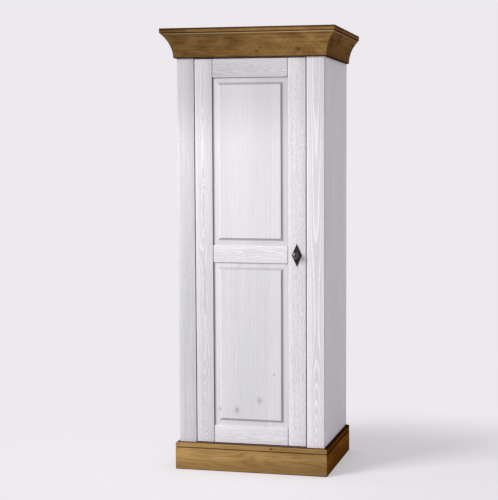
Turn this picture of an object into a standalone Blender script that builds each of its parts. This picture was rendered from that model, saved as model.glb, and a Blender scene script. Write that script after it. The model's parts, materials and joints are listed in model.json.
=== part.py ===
"""A tall single-door cupboard in white-glazed pine, with a honey-oiled cornice and plinth.

Metres, +Z up, the front facing -Y. The origin lies on the floor, in the middle of the overall box.
The face frame, the panelled door, the mitred mouldings, the boarded back, the shelves on cleats and the
concealed hinges are separate pieces, with a thin seam between each two that touch.
"""

import math

import bmesh
import bpy
from mathutils import Matrix, Quaternion, Vector

# Overall sizes
HEIGHT = 1.900
BODY_WIDTH = 0.645
BODY_DEPTH = 0.480

# Gaps: between pieces that touch, past a cut, and for panels and shelves that need room
SEAM = 0.0003
OVERRUN = 0.004
EXPANSION = 0.001

# Carcass boards
SIDE_THICKNESS = 0.020
FACE_THICKNESS = 0.022
FACE_STILE_WIDTH = 0.076
DECK_THICKNESS = 0.020
TOP_RECESS = 0.020
HOUSING_DEPTH = 0.006
BOARD_EASE = 0.0015
REAR_RAIL_THICKNESS = 0.018

# Boarded back
BACK_THICKNESS = 0.010
BACK_REBATE = 0.010
BACK_FOOT = 0.040
BACK_BOARD_COUNT = 5
BACK_TONGUE_LENGTH = 0.004
BACK_TONGUE_THICKNESS = 0.003
BACK_V_JOINT = 0.002

# Shelves and cleats
SHELF_COUNT = 4
SHELF_THICKNESS = 0.018
SHELF_SETBACK = 0.012
CLEAT_WIDTH = 0.018
CLEAT_HEIGHT = 0.022

# Cornice: a fillet along the top, a quirk and a bead under it, a long cove and a rounded foot
CORNICE_HEIGHT = 0.123
CORNICE_REACH = 0.057
CORNICE_EASE = 0.0015
FILLET_HEIGHT = 0.020
QUIRK_DEPTH = 0.0045
BEAD_RADIUS = 0.0035
COVE_SAG = 0.008
FOOT_REACH = 0.0115
FOOT_RADIUS = 0.006
FOOT_HEIGHT = 0.011

# Plinth: a sloping top, a rounded nose and a routed groove below it
PLINTH_HEIGHT = 0.120
PLINTH_REACH = 0.015
PLINTH_FALL = 0.002
PLINTH_NOSE = 0.004
PLINTH_GROOVE_BELOW_TOP = 0.023
PLINTH_GROOVE_WIDTH = 0.005
PLINTH_GROOVE_DEPTH = 0.0028

# Door frame
DOOR_THICKNESS = 0.022
DOOR_GAP = 0.004
DOOR_HEAD_GAP = 0.004
DOOR_STILE_WIDTH = 0.077
DOOR_TOP_RAIL = 0.078
DOOR_MIDDLE_RAIL = 0.073
DOOR_BOTTOM_RAIL = 0.075
MIDDLE_RAIL_HEIGHT = 0.945
DOOR_EDGE_ROUND = 0.002
SIGHT_EDGE_ROUND = 0.001
GROOVE_WIDTH = 0.006
GROOVE_DEPTH = 0.010

# Raised and fielded panels: a sloping border, a hollow and a flat field
FIELD_BORDER = 0.020
FIELD_HOLLOW = 0.009
FIELD_SETBACK = 0.0015
FIELD_STEP = 0.005
FIELD_SAG = 0.0015

# Concealed hinges
HINGE_FROM_END = 0.110
OPEN_ANGLE = math.radians(95)
SWING_CLEARANCE = 0.0014
PIVOT_FROM_BACK = 0.0075
PIN_RADIUS = 0.002
PIN_PLAY = 0.00025
CUP_RADIUS = 0.0175
CUP_WALL = 0.001
CUP_DEPTH = 0.0125
CUP_PIVOT_OFFSET = 0.008
FLANGE_RIM = 0.001
FLANGE_THICKNESS = 0.0012
FLANGE_LENGTH = 0.060
FLANGE_WIDTH = 0.016
ARM_THICKNESS = 0.0025
ARM_WIDTH = 0.012
ARM_EYE_RADIUS = 0.0037
ARM_CLEARANCE = 0.0008
ARM_BEND = 0.004
PLATE_RAIL_HEIGHT = 0.006
PLATE_RAIL_LENGTH = 0.045
PLATE_BEHIND_ARM = 0.003
PLATE_BASE_THICKNESS = 0.0025
PLATE_BASE_MARGIN = 0.001
PLATE_WING_LENGTH = 0.052
PLATE_WING_WIDTH = 0.014
PLATE_WING_ROUND = 0.0045

# Batten behind the hinge-side face stile
BATTEN_THICKNESS = 0.030
BATTEN_MARGIN = 0.008

# Knob, its backplate and its screw
HANDLE_HEIGHT = 0.944
BACKPLATE_LENGTH = 0.100
BACKPLATE_WIDTH = 0.040
BACKPLATE_THICKNESS = 0.0025
BACKPLATE_TIP_ROUND = 0.0012
BACKPLATE_EASE = 0.0006
KNOB_RADIUS = 0.015
KNOB_BASE_RADIUS = 0.0085
KNOB_NECK_RADIUS = 0.0055
KNOB_LENGTH = 0.030
BALL_FLATNESS_SHARE = 0.72
WAIST_HEIGHT_SHARE = 0.7
SCREW_RADIUS = 0.002
SCREW_GRIP = 0.010
SCREW_HEAD_RADIUS = 0.0045
SCREW_HEAD_HEIGHT = 0.0025

# Magnetic catch
CATCH_HEIGHT = 0.040
CATCH_ON_STILE = 0.028
CATCH_OVER_DOOR = 0.014
CATCH_DEPTH = 0.012
STRIKE_HEIGHT = 0.030
STRIKE_WIDTH = 0.012
STRIKE_THICKNESS = 0.0012
STRIKE_FROM_EDGE = 0.003

# Facets: round pieces, small rounds and the cove, and the angle below which an edge is shaded smooth
ROUND_STEPS = 32
PIN_STEPS = 16
CORNER_STEPS = 4
COVE_STEPS = 8
HOLLOW_STEPS = 4
SMOOTH_BELOW = math.radians(35)

# Planes worked out from the sizes above
FRONT_Y = CORNICE_REACH - (BODY_DEPTH + CORNICE_REACH) / 2
BACK_Y = FRONT_Y + BODY_DEPTH
OUTER_X = BODY_WIDTH / 2
INNER_X = OUTER_X - SIDE_THICKNESS
BODY_TOP = HEIGHT - TOP_RECESS
CORNICE_FOOT = HEIGHT - CORNICE_HEIGHT
BEHIND_FACE_Y = FRONT_Y + FACE_THICKNESS + SEAM
BEFORE_BACK_Y = BACK_Y - BACK_THICKNESS - SEAM
FLOOR_TOP = PLINTH_HEIGHT
CEILING = BODY_TOP - DECK_THICKNESS
OPENING_X = OUTER_X - FACE_STILE_WIDTH

DOOR_X = OPENING_X - DOOR_GAP
DOOR_FOOT = PLINTH_HEIGHT + DOOR_GAP
DOOR_HEAD = CORNICE_FOOT - DOOR_HEAD_GAP
DOOR_BACK_Y = FRONT_Y + DOOR_THICKNESS
SIGHT_X = DOOR_X - DOOR_STILE_WIDTH
MIDDLE_RAIL_FOOT = MIDDLE_RAIL_HEIGHT - DOOR_MIDDLE_RAIL / 2
MIDDLE_RAIL_HEAD = MIDDLE_RAIL_HEIGHT + DOOR_MIDDLE_RAIL / 2
GROOVE_FRONT_Y = FRONT_Y + (DOOR_THICKNESS - GROOVE_WIDTH) / 2
GROOVE_BACK_Y = GROOVE_FRONT_Y + GROOVE_WIDTH

# The door turns about an upright axis inside the cups. The axis lies just far enough from the door's edge
# for the rounded front corner to swing past the face stile.
PIVOT_DEPTH = DOOR_THICKNESS - PIVOT_FROM_BACK
SWING_ROOM = DOOR_GAP - SWING_CLEARANCE
PIVOT_INSET = DOOR_EDGE_ROUND + ((PIVOT_DEPTH - DOOR_EDGE_ROUND) ** 2 - SWING_ROOM**2) / (2 * SWING_ROOM)
PIVOT_X = PIVOT_INSET - DOOR_X
PIVOT_Y = FRONT_Y + PIVOT_DEPTH
SWING_RADIUS = PIVOT_INSET + DOOR_GAP
CUP_X = PIVOT_X - CUP_PIVOT_OFFSET
HINGE_HEIGHTS = {
    "lower": DOOR_FOOT + HINGE_FROM_END,
    "middle": (DOOR_FOOT + DOOR_HEAD) / 2,
    "upper": DOOR_HEAD - HINGE_FROM_END,
}

ARM_TURN_Y = SWING_RADIUS + ARM_CLEARANCE + ARM_THICKNESS / 2
PLATE_FRONT_Y = PIVOT_Y + ARM_TURN_Y + PLATE_BEHIND_ARM
PLATE_REAR_Y = PLATE_FRONT_Y + PLATE_RAIL_LENGTH
BATTEN_BACK_Y = PLATE_REAR_Y + BATTEN_MARGIN
SHELF_FRONT_Y = PIVOT_Y + ARM_TURN_Y + ARM_THICKNESS / 2 + SHELF_SETBACK
SHELF_PITCH = (CEILING - FLOOR_TOP) / (SHELF_COUNT + 1)

HANDLE_X = DOOR_X - DOOR_STILE_WIDTH / 2

# Colour, roughness and metallic value of each finish
FINISHES = {
    "white_glaze": ((0.70, 0.68, 0.71), 0.55, 0.0),
    "honey_oil": ((0.29, 0.17, 0.07), 0.45, 0.0),
    "bare_pine": ((0.62, 0.46, 0.28), 0.65, 0.0),
    "black_iron": ((0.02, 0.02, 0.018), 0.45, 0.9),
    "bright_steel": ((0.55, 0.55, 0.56), 0.30, 1.0),
    "white_plastic": ((0.75, 0.75, 0.74), 0.45, 0.0),
}


def clear_scene():
    for obj in list(bpy.data.objects):
        bpy.data.objects.remove(obj, do_unlink=True)


def own_material(name, finish):
    color, roughness, metallic = FINISHES[finish]
    material = bpy.data.materials.new(name + "_finish")
    material.use_nodes = True
    shader = material.node_tree.nodes["Principled BSDF"]
    shader.inputs["Base Color"].default_value = (*color, 1.0)
    shader.inputs["Roughness"].default_value = roughness
    shader.inputs["Metallic"].default_value = metallic
    return material


def place(name, mesh, finish, parent=None, about=(0, 0, 0)):
    """Makes a piece of a mesh in coordinates about a point, with its origin in the middle of its box."""
    corners = [vertex.co for vertex in mesh.vertices]
    low = Vector(min(co[axis] for co in corners) for axis in range(3))
    high = Vector(max(co[axis] for co in corners) for axis in range(3))
    middle = (low + high) / 2
    mesh.transform(Matrix.Translation(-middle))
    mesh.materials.append(own_material(name, finish))
    obj = bpy.data.objects.new(name, mesh)
    bpy.context.scene.collection.objects.link(obj)
    obj.parent = parent
    obj.location = Vector(about) + middle - (parent.location if parent else Vector())
    return obj


def world_origin(obj):
    return obj.location + world_origin(obj.parent) if obj.parent else obj.location.copy()


def combine(obj, mesh, operation, about=(0, 0, 0)):
    """Cuts a mesh in coordinates about a point from a piece, or joins it to it. Returns the helper solid."""
    tool = bpy.data.objects.new(mesh.name, mesh)
    bpy.context.scene.collection.objects.link(tool)
    tool.hide_render = True
    tool.display_type = "WIRE"
    tool.parent = obj
    tool.location = Vector(about) - world_origin(obj)
    modifier = obj.modifiers.new(mesh.name, "BOOLEAN")
    modifier.solver = "EXACT"
    modifier.operation = operation
    modifier.object = tool
    return tool


def ease_edges(obj, width, segments=1):
    bevel = obj.modifiers.new("eased_edges", "BEVEL")
    bevel.width = width
    bevel.segments = segments
    bevel.limit_method = "ANGLE"


def block(name, low, high):
    """A rectangular mesh between two corners."""
    low, high = Vector(low), Vector(high)
    mesh = bpy.data.meshes.new(name)
    shape = bmesh.new()
    bmesh.ops.create_cube(shape, size=1)
    bmesh.ops.scale(shape, vec=high - low, verts=shape.verts)
    bmesh.ops.translate(shape, vec=(low + high) / 2, verts=shape.verts)
    shape.to_mesh(mesh)
    shape.free()
    return mesh


def board(name, low, high, finish, parent=None, segments=1):
    obj = place(name, block(name, low, high), finish, parent)
    ease_edges(obj, BOARD_EASE, segments)
    return obj


def prism(name, outline, start, end, axis):
    """Extrudes an outline along X, Y or Z. Its points hold the other two coordinates in their usual order."""
    along = "xyz".index(axis)
    others = [number for number in range(3) if number != along]
    mesh = bpy.data.meshes.new(name)
    shape = bmesh.new()
    corners = []
    for point in outline:
        place_of = [0.0, 0.0, 0.0]
        place_of[along] = start
        place_of[others[0]], place_of[others[1]] = point
        corners.append(shape.verts.new(place_of))
    face = shape.faces.new(corners)
    grown = bmesh.ops.extrude_face_region(shape, geom=[face])
    moved = [item for item in grown["geom"] if isinstance(item, bmesh.types.BMVert)]
    step = Vector((0.0, 0.0, 0.0))
    step[along] = end - start
    bmesh.ops.translate(shape, vec=step, verts=moved)
    bmesh.ops.recalc_face_normals(shape, faces=shape.faces)
    shape.to_mesh(mesh)
    shape.free()
    return mesh


def skin(name, loops):
    """Joins closed loops of equally many points by quads, and closes the first and the last."""
    mesh = bpy.data.meshes.new(name)
    shape = bmesh.new()
    rows = [[shape.verts.new(point) for point in loop] for loop in loops]
    for here, there in zip(rows, rows[1:]):
        for number in range(len(here)):
            after = (number + 1) % len(here)
            shape.faces.new((here[number], here[after], there[after], there[number]))
    shape.faces.new(rows[0])
    shape.faces.new(rows[-1])
    bmesh.ops.recalc_face_normals(shape, faces=shape.faces)
    shape.to_mesh(mesh)
    shape.free()
    return mesh


def turned(name, profile, middle, axis, steps=ROUND_STEPS):
    """Spins a profile of (radius, distance along the axis) points about an axis through middle."""
    axis = Vector(axis)
    side = axis.orthogonal().normalized()
    mesh = bpy.data.meshes.new(name)
    shape = bmesh.new()
    points = [shape.verts.new(Vector(middle) + side * radius + axis * along) for radius, along in profile]
    for here, there in zip(points, points[1:]):
        shape.edges.new((here, there))
    bmesh.ops.spin(shape, geom=shape.verts[:] + shape.edges[:], cent=middle, axis=axis,
                   angle=2 * math.pi, steps=steps, use_merge=True)
    bmesh.ops.remove_doubles(shape, verts=shape.verts, dist=SEAM / 100)
    bmesh.ops.recalc_face_normals(shape, faces=shape.faces)
    shape.to_mesh(mesh)
    shape.free()
    return smoothed(mesh)


def cylinder(name, radius, start, end, middle, axis, steps=ROUND_STEPS):
    """A cylinder whose corners never line up with those of a turned piece on the same axis."""
    axis = Vector(axis)
    spoke = axis.orthogonal().normalized() * radius
    turns = [math.pi / ROUND_STEPS + 2 * math.pi * number / steps for number in range(steps)]
    spokes = [Quaternion(axis, turn) @ spoke for turn in turns]
    return smoothed(skin(name, [[Vector(middle) + axis * along + each for each in spokes]
                                for along in (start, end)]))


def smoothed(mesh):
    mesh.shade_smooth()
    mesh.set_sharp_from_angle(angle=SMOOTH_BELOW)
    return mesh


def arc(middle, radius, start, end, steps=CORNER_STEPS):
    """Points of a circular arc between two angles in degrees, both ends included."""
    angles = [math.radians(start + (end - start) * number / steps) for number in range(steps + 1)]
    return [(middle[0] + radius * math.cos(angle), middle[1] + radius * math.sin(angle)) for angle in angles]


def bowed(start, end, sag, steps):
    """Points of a shallow arc from start to end that bulges by sag to the left of its chord."""
    start, end = Vector(start), Vector(end)
    half = (end - start) / 2
    left = Vector((-half.y, half.x)).normalized()
    radius = (half.length_squared + sag * sag) / (2 * sag)
    middle = start + half + left * (sag - radius)
    spread = math.asin(half.length / radius)
    bearing = math.atan2(left.y, left.x)
    angles = [bearing + spread - 2 * spread * number / steps for number in range(steps + 1)]
    return [(middle.x + radius * math.cos(angle), middle.y + radius * math.sin(angle)) for angle in angles]


def round_corners(outline, radii, closed=True, steps=CORNER_STEPS):
    """Replaces each corner that has a radius by an arc that touches both of its sides."""
    rounded = []
    for number, corner in enumerate(outline):
        radius = radii.get(number, 0)
        if not radius or (not closed and number in (0, len(outline) - 1)):
            rounded.append(corner)
            continue
        here = Vector(corner)
        before = (Vector(outline[number - 1]) - here).normalized()
        after = (Vector(outline[(number + 1) % len(outline)]) - here).normalized()
        half_angle = before.angle(after) / 2
        middle = here + (before + after).normalized() * radius / math.sin(half_angle)
        first = here + before * radius / math.tan(half_angle) - middle
        last = here + after * radius / math.tan(half_angle) - middle
        turn = first.angle_signed(last)
        for step in range(steps + 1):
            spoke = first.copy()
            spoke.rotate(Matrix.Rotation(-turn * step / steps, 2))
            rounded.append(tuple(middle + spoke))
    return rounded


def mirrored(points):
    return [(-x, y) for x, y in reversed(points)]


# Carcass


def side_outline():
    """Plan of the right side panel, with a rebate for the back along its inner rear edge."""
    rebate_x = INNER_X + BACK_REBATE
    return [(INNER_X, BEHIND_FACE_Y), (OUTER_X, BEHIND_FACE_Y), (OUTER_X, BACK_Y),
            (rebate_x, BACK_Y), (rebate_x, BEFORE_BACK_Y), (INNER_X, BEFORE_BACK_Y)]


def build_sides():
    """Side panels, each with two housings across its inner face for the top and bottom boards."""
    for side, sign in (("left", -1), ("right", 1)):
        outline = side_outline() if sign > 0 else mirrored(side_outline())
        name = f"side_panel_{side}"
        panel = place(name, prism(name, outline, 0, BODY_TOP, "z"), "white_glaze")
        for deck_top in (FLOOR_TOP, BODY_TOP):
            low_z = deck_top - DECK_THICKNESS - SEAM
            high_z = deck_top + (SEAM if deck_top < BODY_TOP else OVERRUN)
            inner, outer = sorted((sign * (INNER_X - OVERRUN), sign * (INNER_X + HOUSING_DEPTH + SEAM)))
            housing = block(name + "_housing", (inner, BEHIND_FACE_Y - OVERRUN, low_z),
                            (outer, BEFORE_BACK_Y, high_z))
            combine(panel, housing, "DIFFERENCE")


def build_decks():
    """Top and bottom boards, held in the side panels' housings."""
    reach = INNER_X + HOUSING_DEPTH
    for name, top in (("bottom_board", FLOOR_TOP), ("top_board", BODY_TOP)):
        board(name, (-reach, BEHIND_FACE_Y, top - DECK_THICKNESS), (reach, BEFORE_BACK_Y - SEAM, top),
              "white_glaze")


def build_face_frame():
    """Face stiles from the floor to the top, and the rails that the plinth and the cornice hide."""
    for side, sign in (("left", -1), ("right", 1)):
        low_x, high_x = sorted((sign * OPENING_X, sign * OUTER_X))
        board(f"face_stile_{side}", (low_x, FRONT_Y, 0), (high_x, FRONT_Y + FACE_THICKNESS, BODY_TOP),
              "white_glaze", segments=2)
    rails = (("face_rail_bottom", 0, PLINTH_HEIGHT), ("face_rail_top", CORNICE_FOOT, BODY_TOP))
    for name, low_z, high_z in rails:
        board(name, (SEAM - OPENING_X, FRONT_Y, low_z), (OPENING_X - SEAM, FRONT_Y + FACE_THICKNESS, high_z),
              "white_glaze")


def back_board_outline(left, right, groove, tongue):
    """Plan of one back board: a groove on its left and a tongue on its right, with V-shaped joints."""
    middle = BACK_Y - BACK_THICKNESS / 2
    front = BACK_Y - BACK_THICKNESS
    tongue_half = BACK_TONGUE_THICKNESS / 2
    groove_half = tongue_half + SEAM
    groove_floor = left + BACK_TONGUE_LENGTH + SEAM
    outline = [(left, front), (right, front)]
    chamfers = {}
    if tongue:
        chamfers.update({1: BACK_V_JOINT, 6: BACK_V_JOINT})
        tip = right + BACK_TONGUE_LENGTH
        outline += [(right, middle - tongue_half), (tip, middle - tongue_half),
                    (tip, middle + tongue_half), (right, middle + tongue_half)]
    outline += [(right, BACK_Y), (left, BACK_Y)]
    if groove:
        chamfers.update({0: BACK_V_JOINT, len(outline) - 1: BACK_V_JOINT})
        outline += [(left, middle + groove_half), (groove_floor, middle + groove_half),
                    (groove_floor, middle - groove_half), (left, middle - groove_half)]
    return round_corners(outline, chamfers, steps=1)


def build_back():
    """Upright tongued-and-grooved boards in the side panels' rebates, and the rail at their foot."""
    edge = INNER_X + BACK_REBATE - SEAM
    pitch = 2 * edge / BACK_BOARD_COUNT
    for number in range(BACK_BOARD_COUNT):
        left = number * pitch - edge
        right = left + pitch
        first, last = number == 0, number == BACK_BOARD_COUNT - 1
        outline = back_board_outline(left if first else left + SEAM, right, not first, not last)
        name = f"back_board_{number + 1}"
        place(name, prism(name, outline, BACK_FOOT, BODY_TOP, "z"), "white_glaze")
    rear = BEFORE_BACK_Y - SEAM
    board("rear_rail", (SEAM - INNER_X, rear - REAR_RAIL_THICKNESS, 0),
          (INNER_X - SEAM, rear, FLOOR_TOP - DECK_THICKNESS - SEAM), "bare_pine")


def shelf_outline():
    """Plan of a shelf, notched at the hinge side so that it passes the batten and the hinge plates."""
    left, right = EXPANSION - INNER_X, INNER_X - EXPANSION
    notch_x = PLATE_RAIL_HEIGHT + ARM_THICKNESS + ARM_BEND - OPENING_X
    notch_y = BATTEN_BACK_Y + EXPANSION
    rear = BEFORE_BACK_Y - EXPANSION
    return [(notch_x, SHELF_FRONT_Y), (right, SHELF_FRONT_Y), (right, rear), (left, rear),
            (left, notch_y), (notch_x, notch_y)]


def build_shelves():
    """Shelves at an even pitch, each resting on a cleat at either side."""
    rear = BEFORE_BACK_Y - EXPANSION
    for number in range(1, SHELF_COUNT + 1):
        top = FLOOR_TOP + number * SHELF_PITCH
        underside = top - SHELF_THICKNESS
        name = f"shelf_{number}"
        shelf = place(name, prism(name, shelf_outline(), underside, top, "z"), "white_glaze")
        ease_edges(shelf, BOARD_EASE)
        head = underside - SEAM
        foot = head - CLEAT_HEIGHT
        board(f"shelf_cleat_{number}_left", (SEAM - INNER_X, BATTEN_BACK_Y + EXPANSION, foot),
              (CLEAT_WIDTH - INNER_X, rear, head), "bare_pine")
        board(f"shelf_cleat_{number}_right", (INNER_X - CLEAT_WIDTH, SHELF_FRONT_Y, foot),
              (INNER_X - SEAM, rear, head), "bare_pine")


# Cornice and plinth


def cornice_profile():
    """Section of the cornice as (distance out from the body, height), from its foot up to its top."""
    foot, top = CORNICE_FOOT, HEIGHT
    bead_outer = CORNICE_REACH - QUIRK_DEPTH
    fillet_foot = top - FILLET_HEIGHT
    bead_foot = fillet_foot - 2 * BEAD_RADIUS
    cove_top = (bead_outer - BEAD_RADIUS, bead_foot)
    cove = bowed((FOOT_REACH, foot + FOOT_HEIGHT), cove_top, COVE_SAG, COVE_STEPS)
    return ([(SEAM, foot)]
            + arc((FOOT_REACH - FOOT_RADIUS, foot + FOOT_RADIUS), FOOT_RADIUS, -90, 0)
            + cove
            + arc((bead_outer - BEAD_RADIUS, fillet_foot - BEAD_RADIUS), BEAD_RADIUS, -60, 60)
            + [(bead_outer - BEAD_RADIUS / 2, fillet_foot), (CORNICE_REACH, fillet_foot),
               (CORNICE_REACH, top - CORNICE_EASE), (CORNICE_REACH - CORNICE_EASE, top), (SEAM, top)])


def plinth_profile():
    """Section of the plinth as (distance out from the body, height), from the floor up to its top."""
    groove = PLINTH_HEIGHT - PLINTH_GROOVE_BELOW_TOP
    half = PLINTH_GROOVE_WIDTH / 2
    shoulder = PLINTH_HEIGHT - PLINTH_FALL
    return ([(SEAM, 0), (PLINTH_REACH, 0), (PLINTH_REACH, groove - half),
             (PLINTH_REACH - PLINTH_GROOVE_DEPTH, groove), (PLINTH_REACH, groove + half)]
            + arc((PLINTH_REACH - PLINTH_NOSE, shoulder - PLINTH_NOSE), PLINTH_NOSE, 0, 90)
            + [(SEAM, PLINTH_HEIGHT)])


def build_mouldings(kind, profile):
    """Three lengths of one moulding round the front and the sides, mitred at the front corners."""
    mitre_gap = SEAM * math.sqrt(2)
    ends = [[(sign * (OUTER_X + out - mitre_gap), FRONT_Y - out, z) for out, z in profile] for sign in (-1, 1)]
    place(f"{kind}_front", skin(f"{kind}_front", ends), "honey_oil")
    for side, sign in (("left", -1), ("right", 1)):
        mitred = [(sign * (OUTER_X + out), FRONT_Y - out, z) for out, z in profile]
        square = [(sign * (OUTER_X + out), BACK_Y, z) for out, z in profile]
        place(f"{kind}_{side}", skin(f"{kind}_{side}", [mitred, square]), "honey_oil")


# Door


def stile_outline():
    """Plan of the right door stile: rounded outer edges, and the panel groove along its inner edge."""
    corners = [(SIGHT_X, FRONT_Y), (DOOR_X, FRONT_Y), (DOOR_X, DOOR_BACK_Y), (SIGHT_X, DOOR_BACK_Y),
               (SIGHT_X, GROOVE_BACK_Y), (SIGHT_X + GROOVE_DEPTH, GROOVE_BACK_Y),
               (SIGHT_X + GROOVE_DEPTH, GROOVE_FRONT_Y), (SIGHT_X, GROOVE_FRONT_Y)]
    return round_corners(corners, {0: SIGHT_EDGE_ROUND, 1: DOOR_EDGE_ROUND, 2: DOOR_EDGE_ROUND,
                                   3: SIGHT_EDGE_ROUND})


def build_door_stiles(axis):
    """The hinge stile, bored for the cups, and the knob stile, drilled for the knob's screw."""
    hinge_stile = prism("door_stile_left", mirrored(stile_outline()), DOOR_FOOT, DOOR_HEAD, "z")
    left = place("door_stile_left", hinge_stile, "white_glaze", axis)
    for label, height in HINGE_HEIGHTS.items():
        bore = cylinder(f"cup_bore_{label}", CUP_RADIUS + SEAM, -CUP_DEPTH - SEAM, OVERRUN,
                        (CUP_X, DOOR_BACK_Y, height), (0, 1, 0))
        combine(left, bore, "DIFFERENCE")
    knob_stile = prism("door_stile_right", stile_outline(), DOOR_FOOT, DOOR_HEAD, "z")
    right = place("door_stile_right", knob_stile, "white_glaze", axis)
    hole = cylinder("screw_hole", SCREW_RADIUS + SEAM, -OVERRUN, DOOR_THICKNESS + OVERRUN,
                    (HANDLE_X, FRONT_Y, HANDLE_HEIGHT), (0, 1, 0), PIN_STEPS)
    combine(right, hole, "DIFFERENCE")


def rail_outline(foot, head, groove_below, groove_above):
    """Section of a door rail as (y, z), with a panel groove in each edge that meets a panel."""
    outline = [(FRONT_Y, foot), (FRONT_Y, head)]
    radii = {0: SIGHT_EDGE_ROUND if groove_below else DOOR_EDGE_ROUND,
             1: SIGHT_EDGE_ROUND if groove_above else DOOR_EDGE_ROUND}
    if groove_above:
        outline += [(GROOVE_FRONT_Y, head), (GROOVE_FRONT_Y, head - GROOVE_DEPTH),
                    (GROOVE_BACK_Y, head - GROOVE_DEPTH), (GROOVE_BACK_Y, head)]
    radii[len(outline)] = radii[1]
    outline.append((DOOR_BACK_Y, head))
    radii[len(outline)] = radii[0]
    outline.append((DOOR_BACK_Y, foot))
    if groove_below:
        outline += [(GROOVE_BACK_Y, foot), (GROOVE_BACK_Y, foot + GROOVE_DEPTH),
                    (GROOVE_FRONT_Y, foot + GROOVE_DEPTH), (GROOVE_FRONT_Y, foot)]
    return round_corners(outline, radii)


def build_door_rails(axis):
    """Top, middle and bottom rails. A stub tenon at each end fills the stile's groove."""
    shoulder = SIGHT_X - SEAM
    tenon_x = SIGHT_X + GROOVE_DEPTH - SEAM
    rails = (("door_rail_bottom", DOOR_FOOT, DOOR_FOOT + DOOR_BOTTOM_RAIL, False, True),
             ("door_rail_middle", MIDDLE_RAIL_FOOT, MIDDLE_RAIL_HEAD, True, True),
             ("door_rail_top", DOOR_HEAD - DOOR_TOP_RAIL, DOOR_HEAD, True, False))
    for name, foot, head, groove_below, groove_above in rails:
        outline = rail_outline(foot, head, groove_below, groove_above)
        rail = place(name, prism(name, outline, -shoulder, shoulder, "x"), "white_glaze", axis)
        low_z = foot + (GROOVE_DEPTH + EXPANSION if groove_below else DOOR_EDGE_ROUND)
        high_z = head - (GROOVE_DEPTH + EXPANSION if groove_above else DOOR_EDGE_ROUND)
        tenon = block(name + "_tenon", (-tenon_x, GROOVE_FRONT_Y + SEAM, low_z),
                      (tenon_x, GROOVE_BACK_Y - SEAM, high_z))
        combine(rail, tenon, "UNION")


def build_door_panels(axis):
    """Raised and fielded panels: a tongue in the grooves, a sloping border, a hollow and a flat field."""
    tongue_front, tongue_back = GROOVE_FRONT_Y + SEAM, GROOVE_BACK_Y - SEAM
    field_y = FRONT_Y + FIELD_SETBACK
    hollow = bowed((FIELD_BORDER, field_y + FIELD_STEP), (FIELD_BORDER + FIELD_HOLLOW, field_y),
                   FIELD_SAG, HOLLOW_STEPS)
    openings = (("door_panel_lower", DOOR_FOOT + DOOR_BOTTOM_RAIL, MIDDLE_RAIL_FOOT),
                ("door_panel_upper", MIDDLE_RAIL_HEAD, DOOR_HEAD - DOOR_TOP_RAIL))
    for name, foot, head in openings:
        # Each ring is a distance in from the frame's sight edge, and a depth.
        rings = [(EXPANSION - GROOVE_DEPTH, tongue_back), (EXPANSION - GROOVE_DEPTH, tongue_front),
                 (0, tongue_front)] + hollow
        loops = []
        for inset, y in rings:
            x, low_z, high_z = SIGHT_X - inset, foot + inset, head - inset
            loops.append([(-x, y, low_z), (x, y, low_z), (x, y, high_z), (-x, y, high_z)])
        place(name, skin(name, loops), "white_glaze", axis)


# Hinges


def flange_outline():
    """Front view of the cup's flange: a round rim with two ears for its screws, as (x, z)."""
    rim = CUP_RADIUS + FLANGE_RIM
    ear = FLANGE_WIDTH / 2
    ear_z = FLANGE_LENGTH / 2 - ear
    meet = math.degrees(math.acos(ear / rim))
    half = arc((0, 0), rim, -meet, meet, 3 * CORNER_STEPS) + arc((0, ear_z), ear, 0, 180, 2 * CORNER_STEPS)
    return [(x - CUP_PIVOT_OFFSET, z) for x, z in half + [(-x, -z) for x, z in half]]


def build_cup(label, pivot, axis):
    """The pressed steel cup in the door stile, drilled across for its pin, and the pin."""
    inner = CUP_RADIUS - CUP_WALL
    rim_back = SEAM + FLANGE_THICKNESS / 2
    profile = [(0, -CUP_DEPTH), (CUP_RADIUS - CUP_WALL, -CUP_DEPTH), (CUP_RADIUS, CUP_WALL - CUP_DEPTH),
               (CUP_RADIUS, rim_back), (inner, rim_back), (inner, 2 * CUP_WALL - CUP_DEPTH),
               (inner - CUP_WALL, CUP_WALL - CUP_DEPTH), (0, CUP_WALL - CUP_DEPTH)]
    name = f"hinge_cup_{label}"
    middle = (-CUP_PIVOT_OFFSET, PIVOT_FROM_BACK, 0)
    cup = place(name, turned(name, profile, middle, (0, 1, 0)), "bright_steel", axis, pivot)
    mouth = CUP_RADIUS - CUP_WALL / 2
    flange_front = PIVOT_FROM_BACK + SEAM
    flange = combine(cup, prism(name + "_flange", flange_outline(), flange_front,
                                flange_front + FLANGE_THICKNESS, "y"), "UNION", pivot)
    combine(flange, cylinder(name + "_mouth", mouth, -OVERRUN, OVERRUN, middle, (0, 1, 0)), "DIFFERENCE", pivot)
    combine(cup, cylinder(name + "_pin_hole", PIN_RADIUS + SEAM, -CUP_RADIUS, CUP_RADIUS, (0, 0, 0), (0, 0, 1),
                          PIN_STEPS), "DIFFERENCE", pivot)
    reach = math.sqrt(CUP_RADIUS**2 - (CUP_PIVOT_OFFSET + PIN_RADIUS) ** 2)
    name = f"hinge_pin_{label}"
    place(name, cylinder(name, PIN_RADIUS, -reach, reach, (0, 0, 0), (0, 0, 1), PIN_STEPS), "bright_steel",
          axis, pivot)


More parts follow.
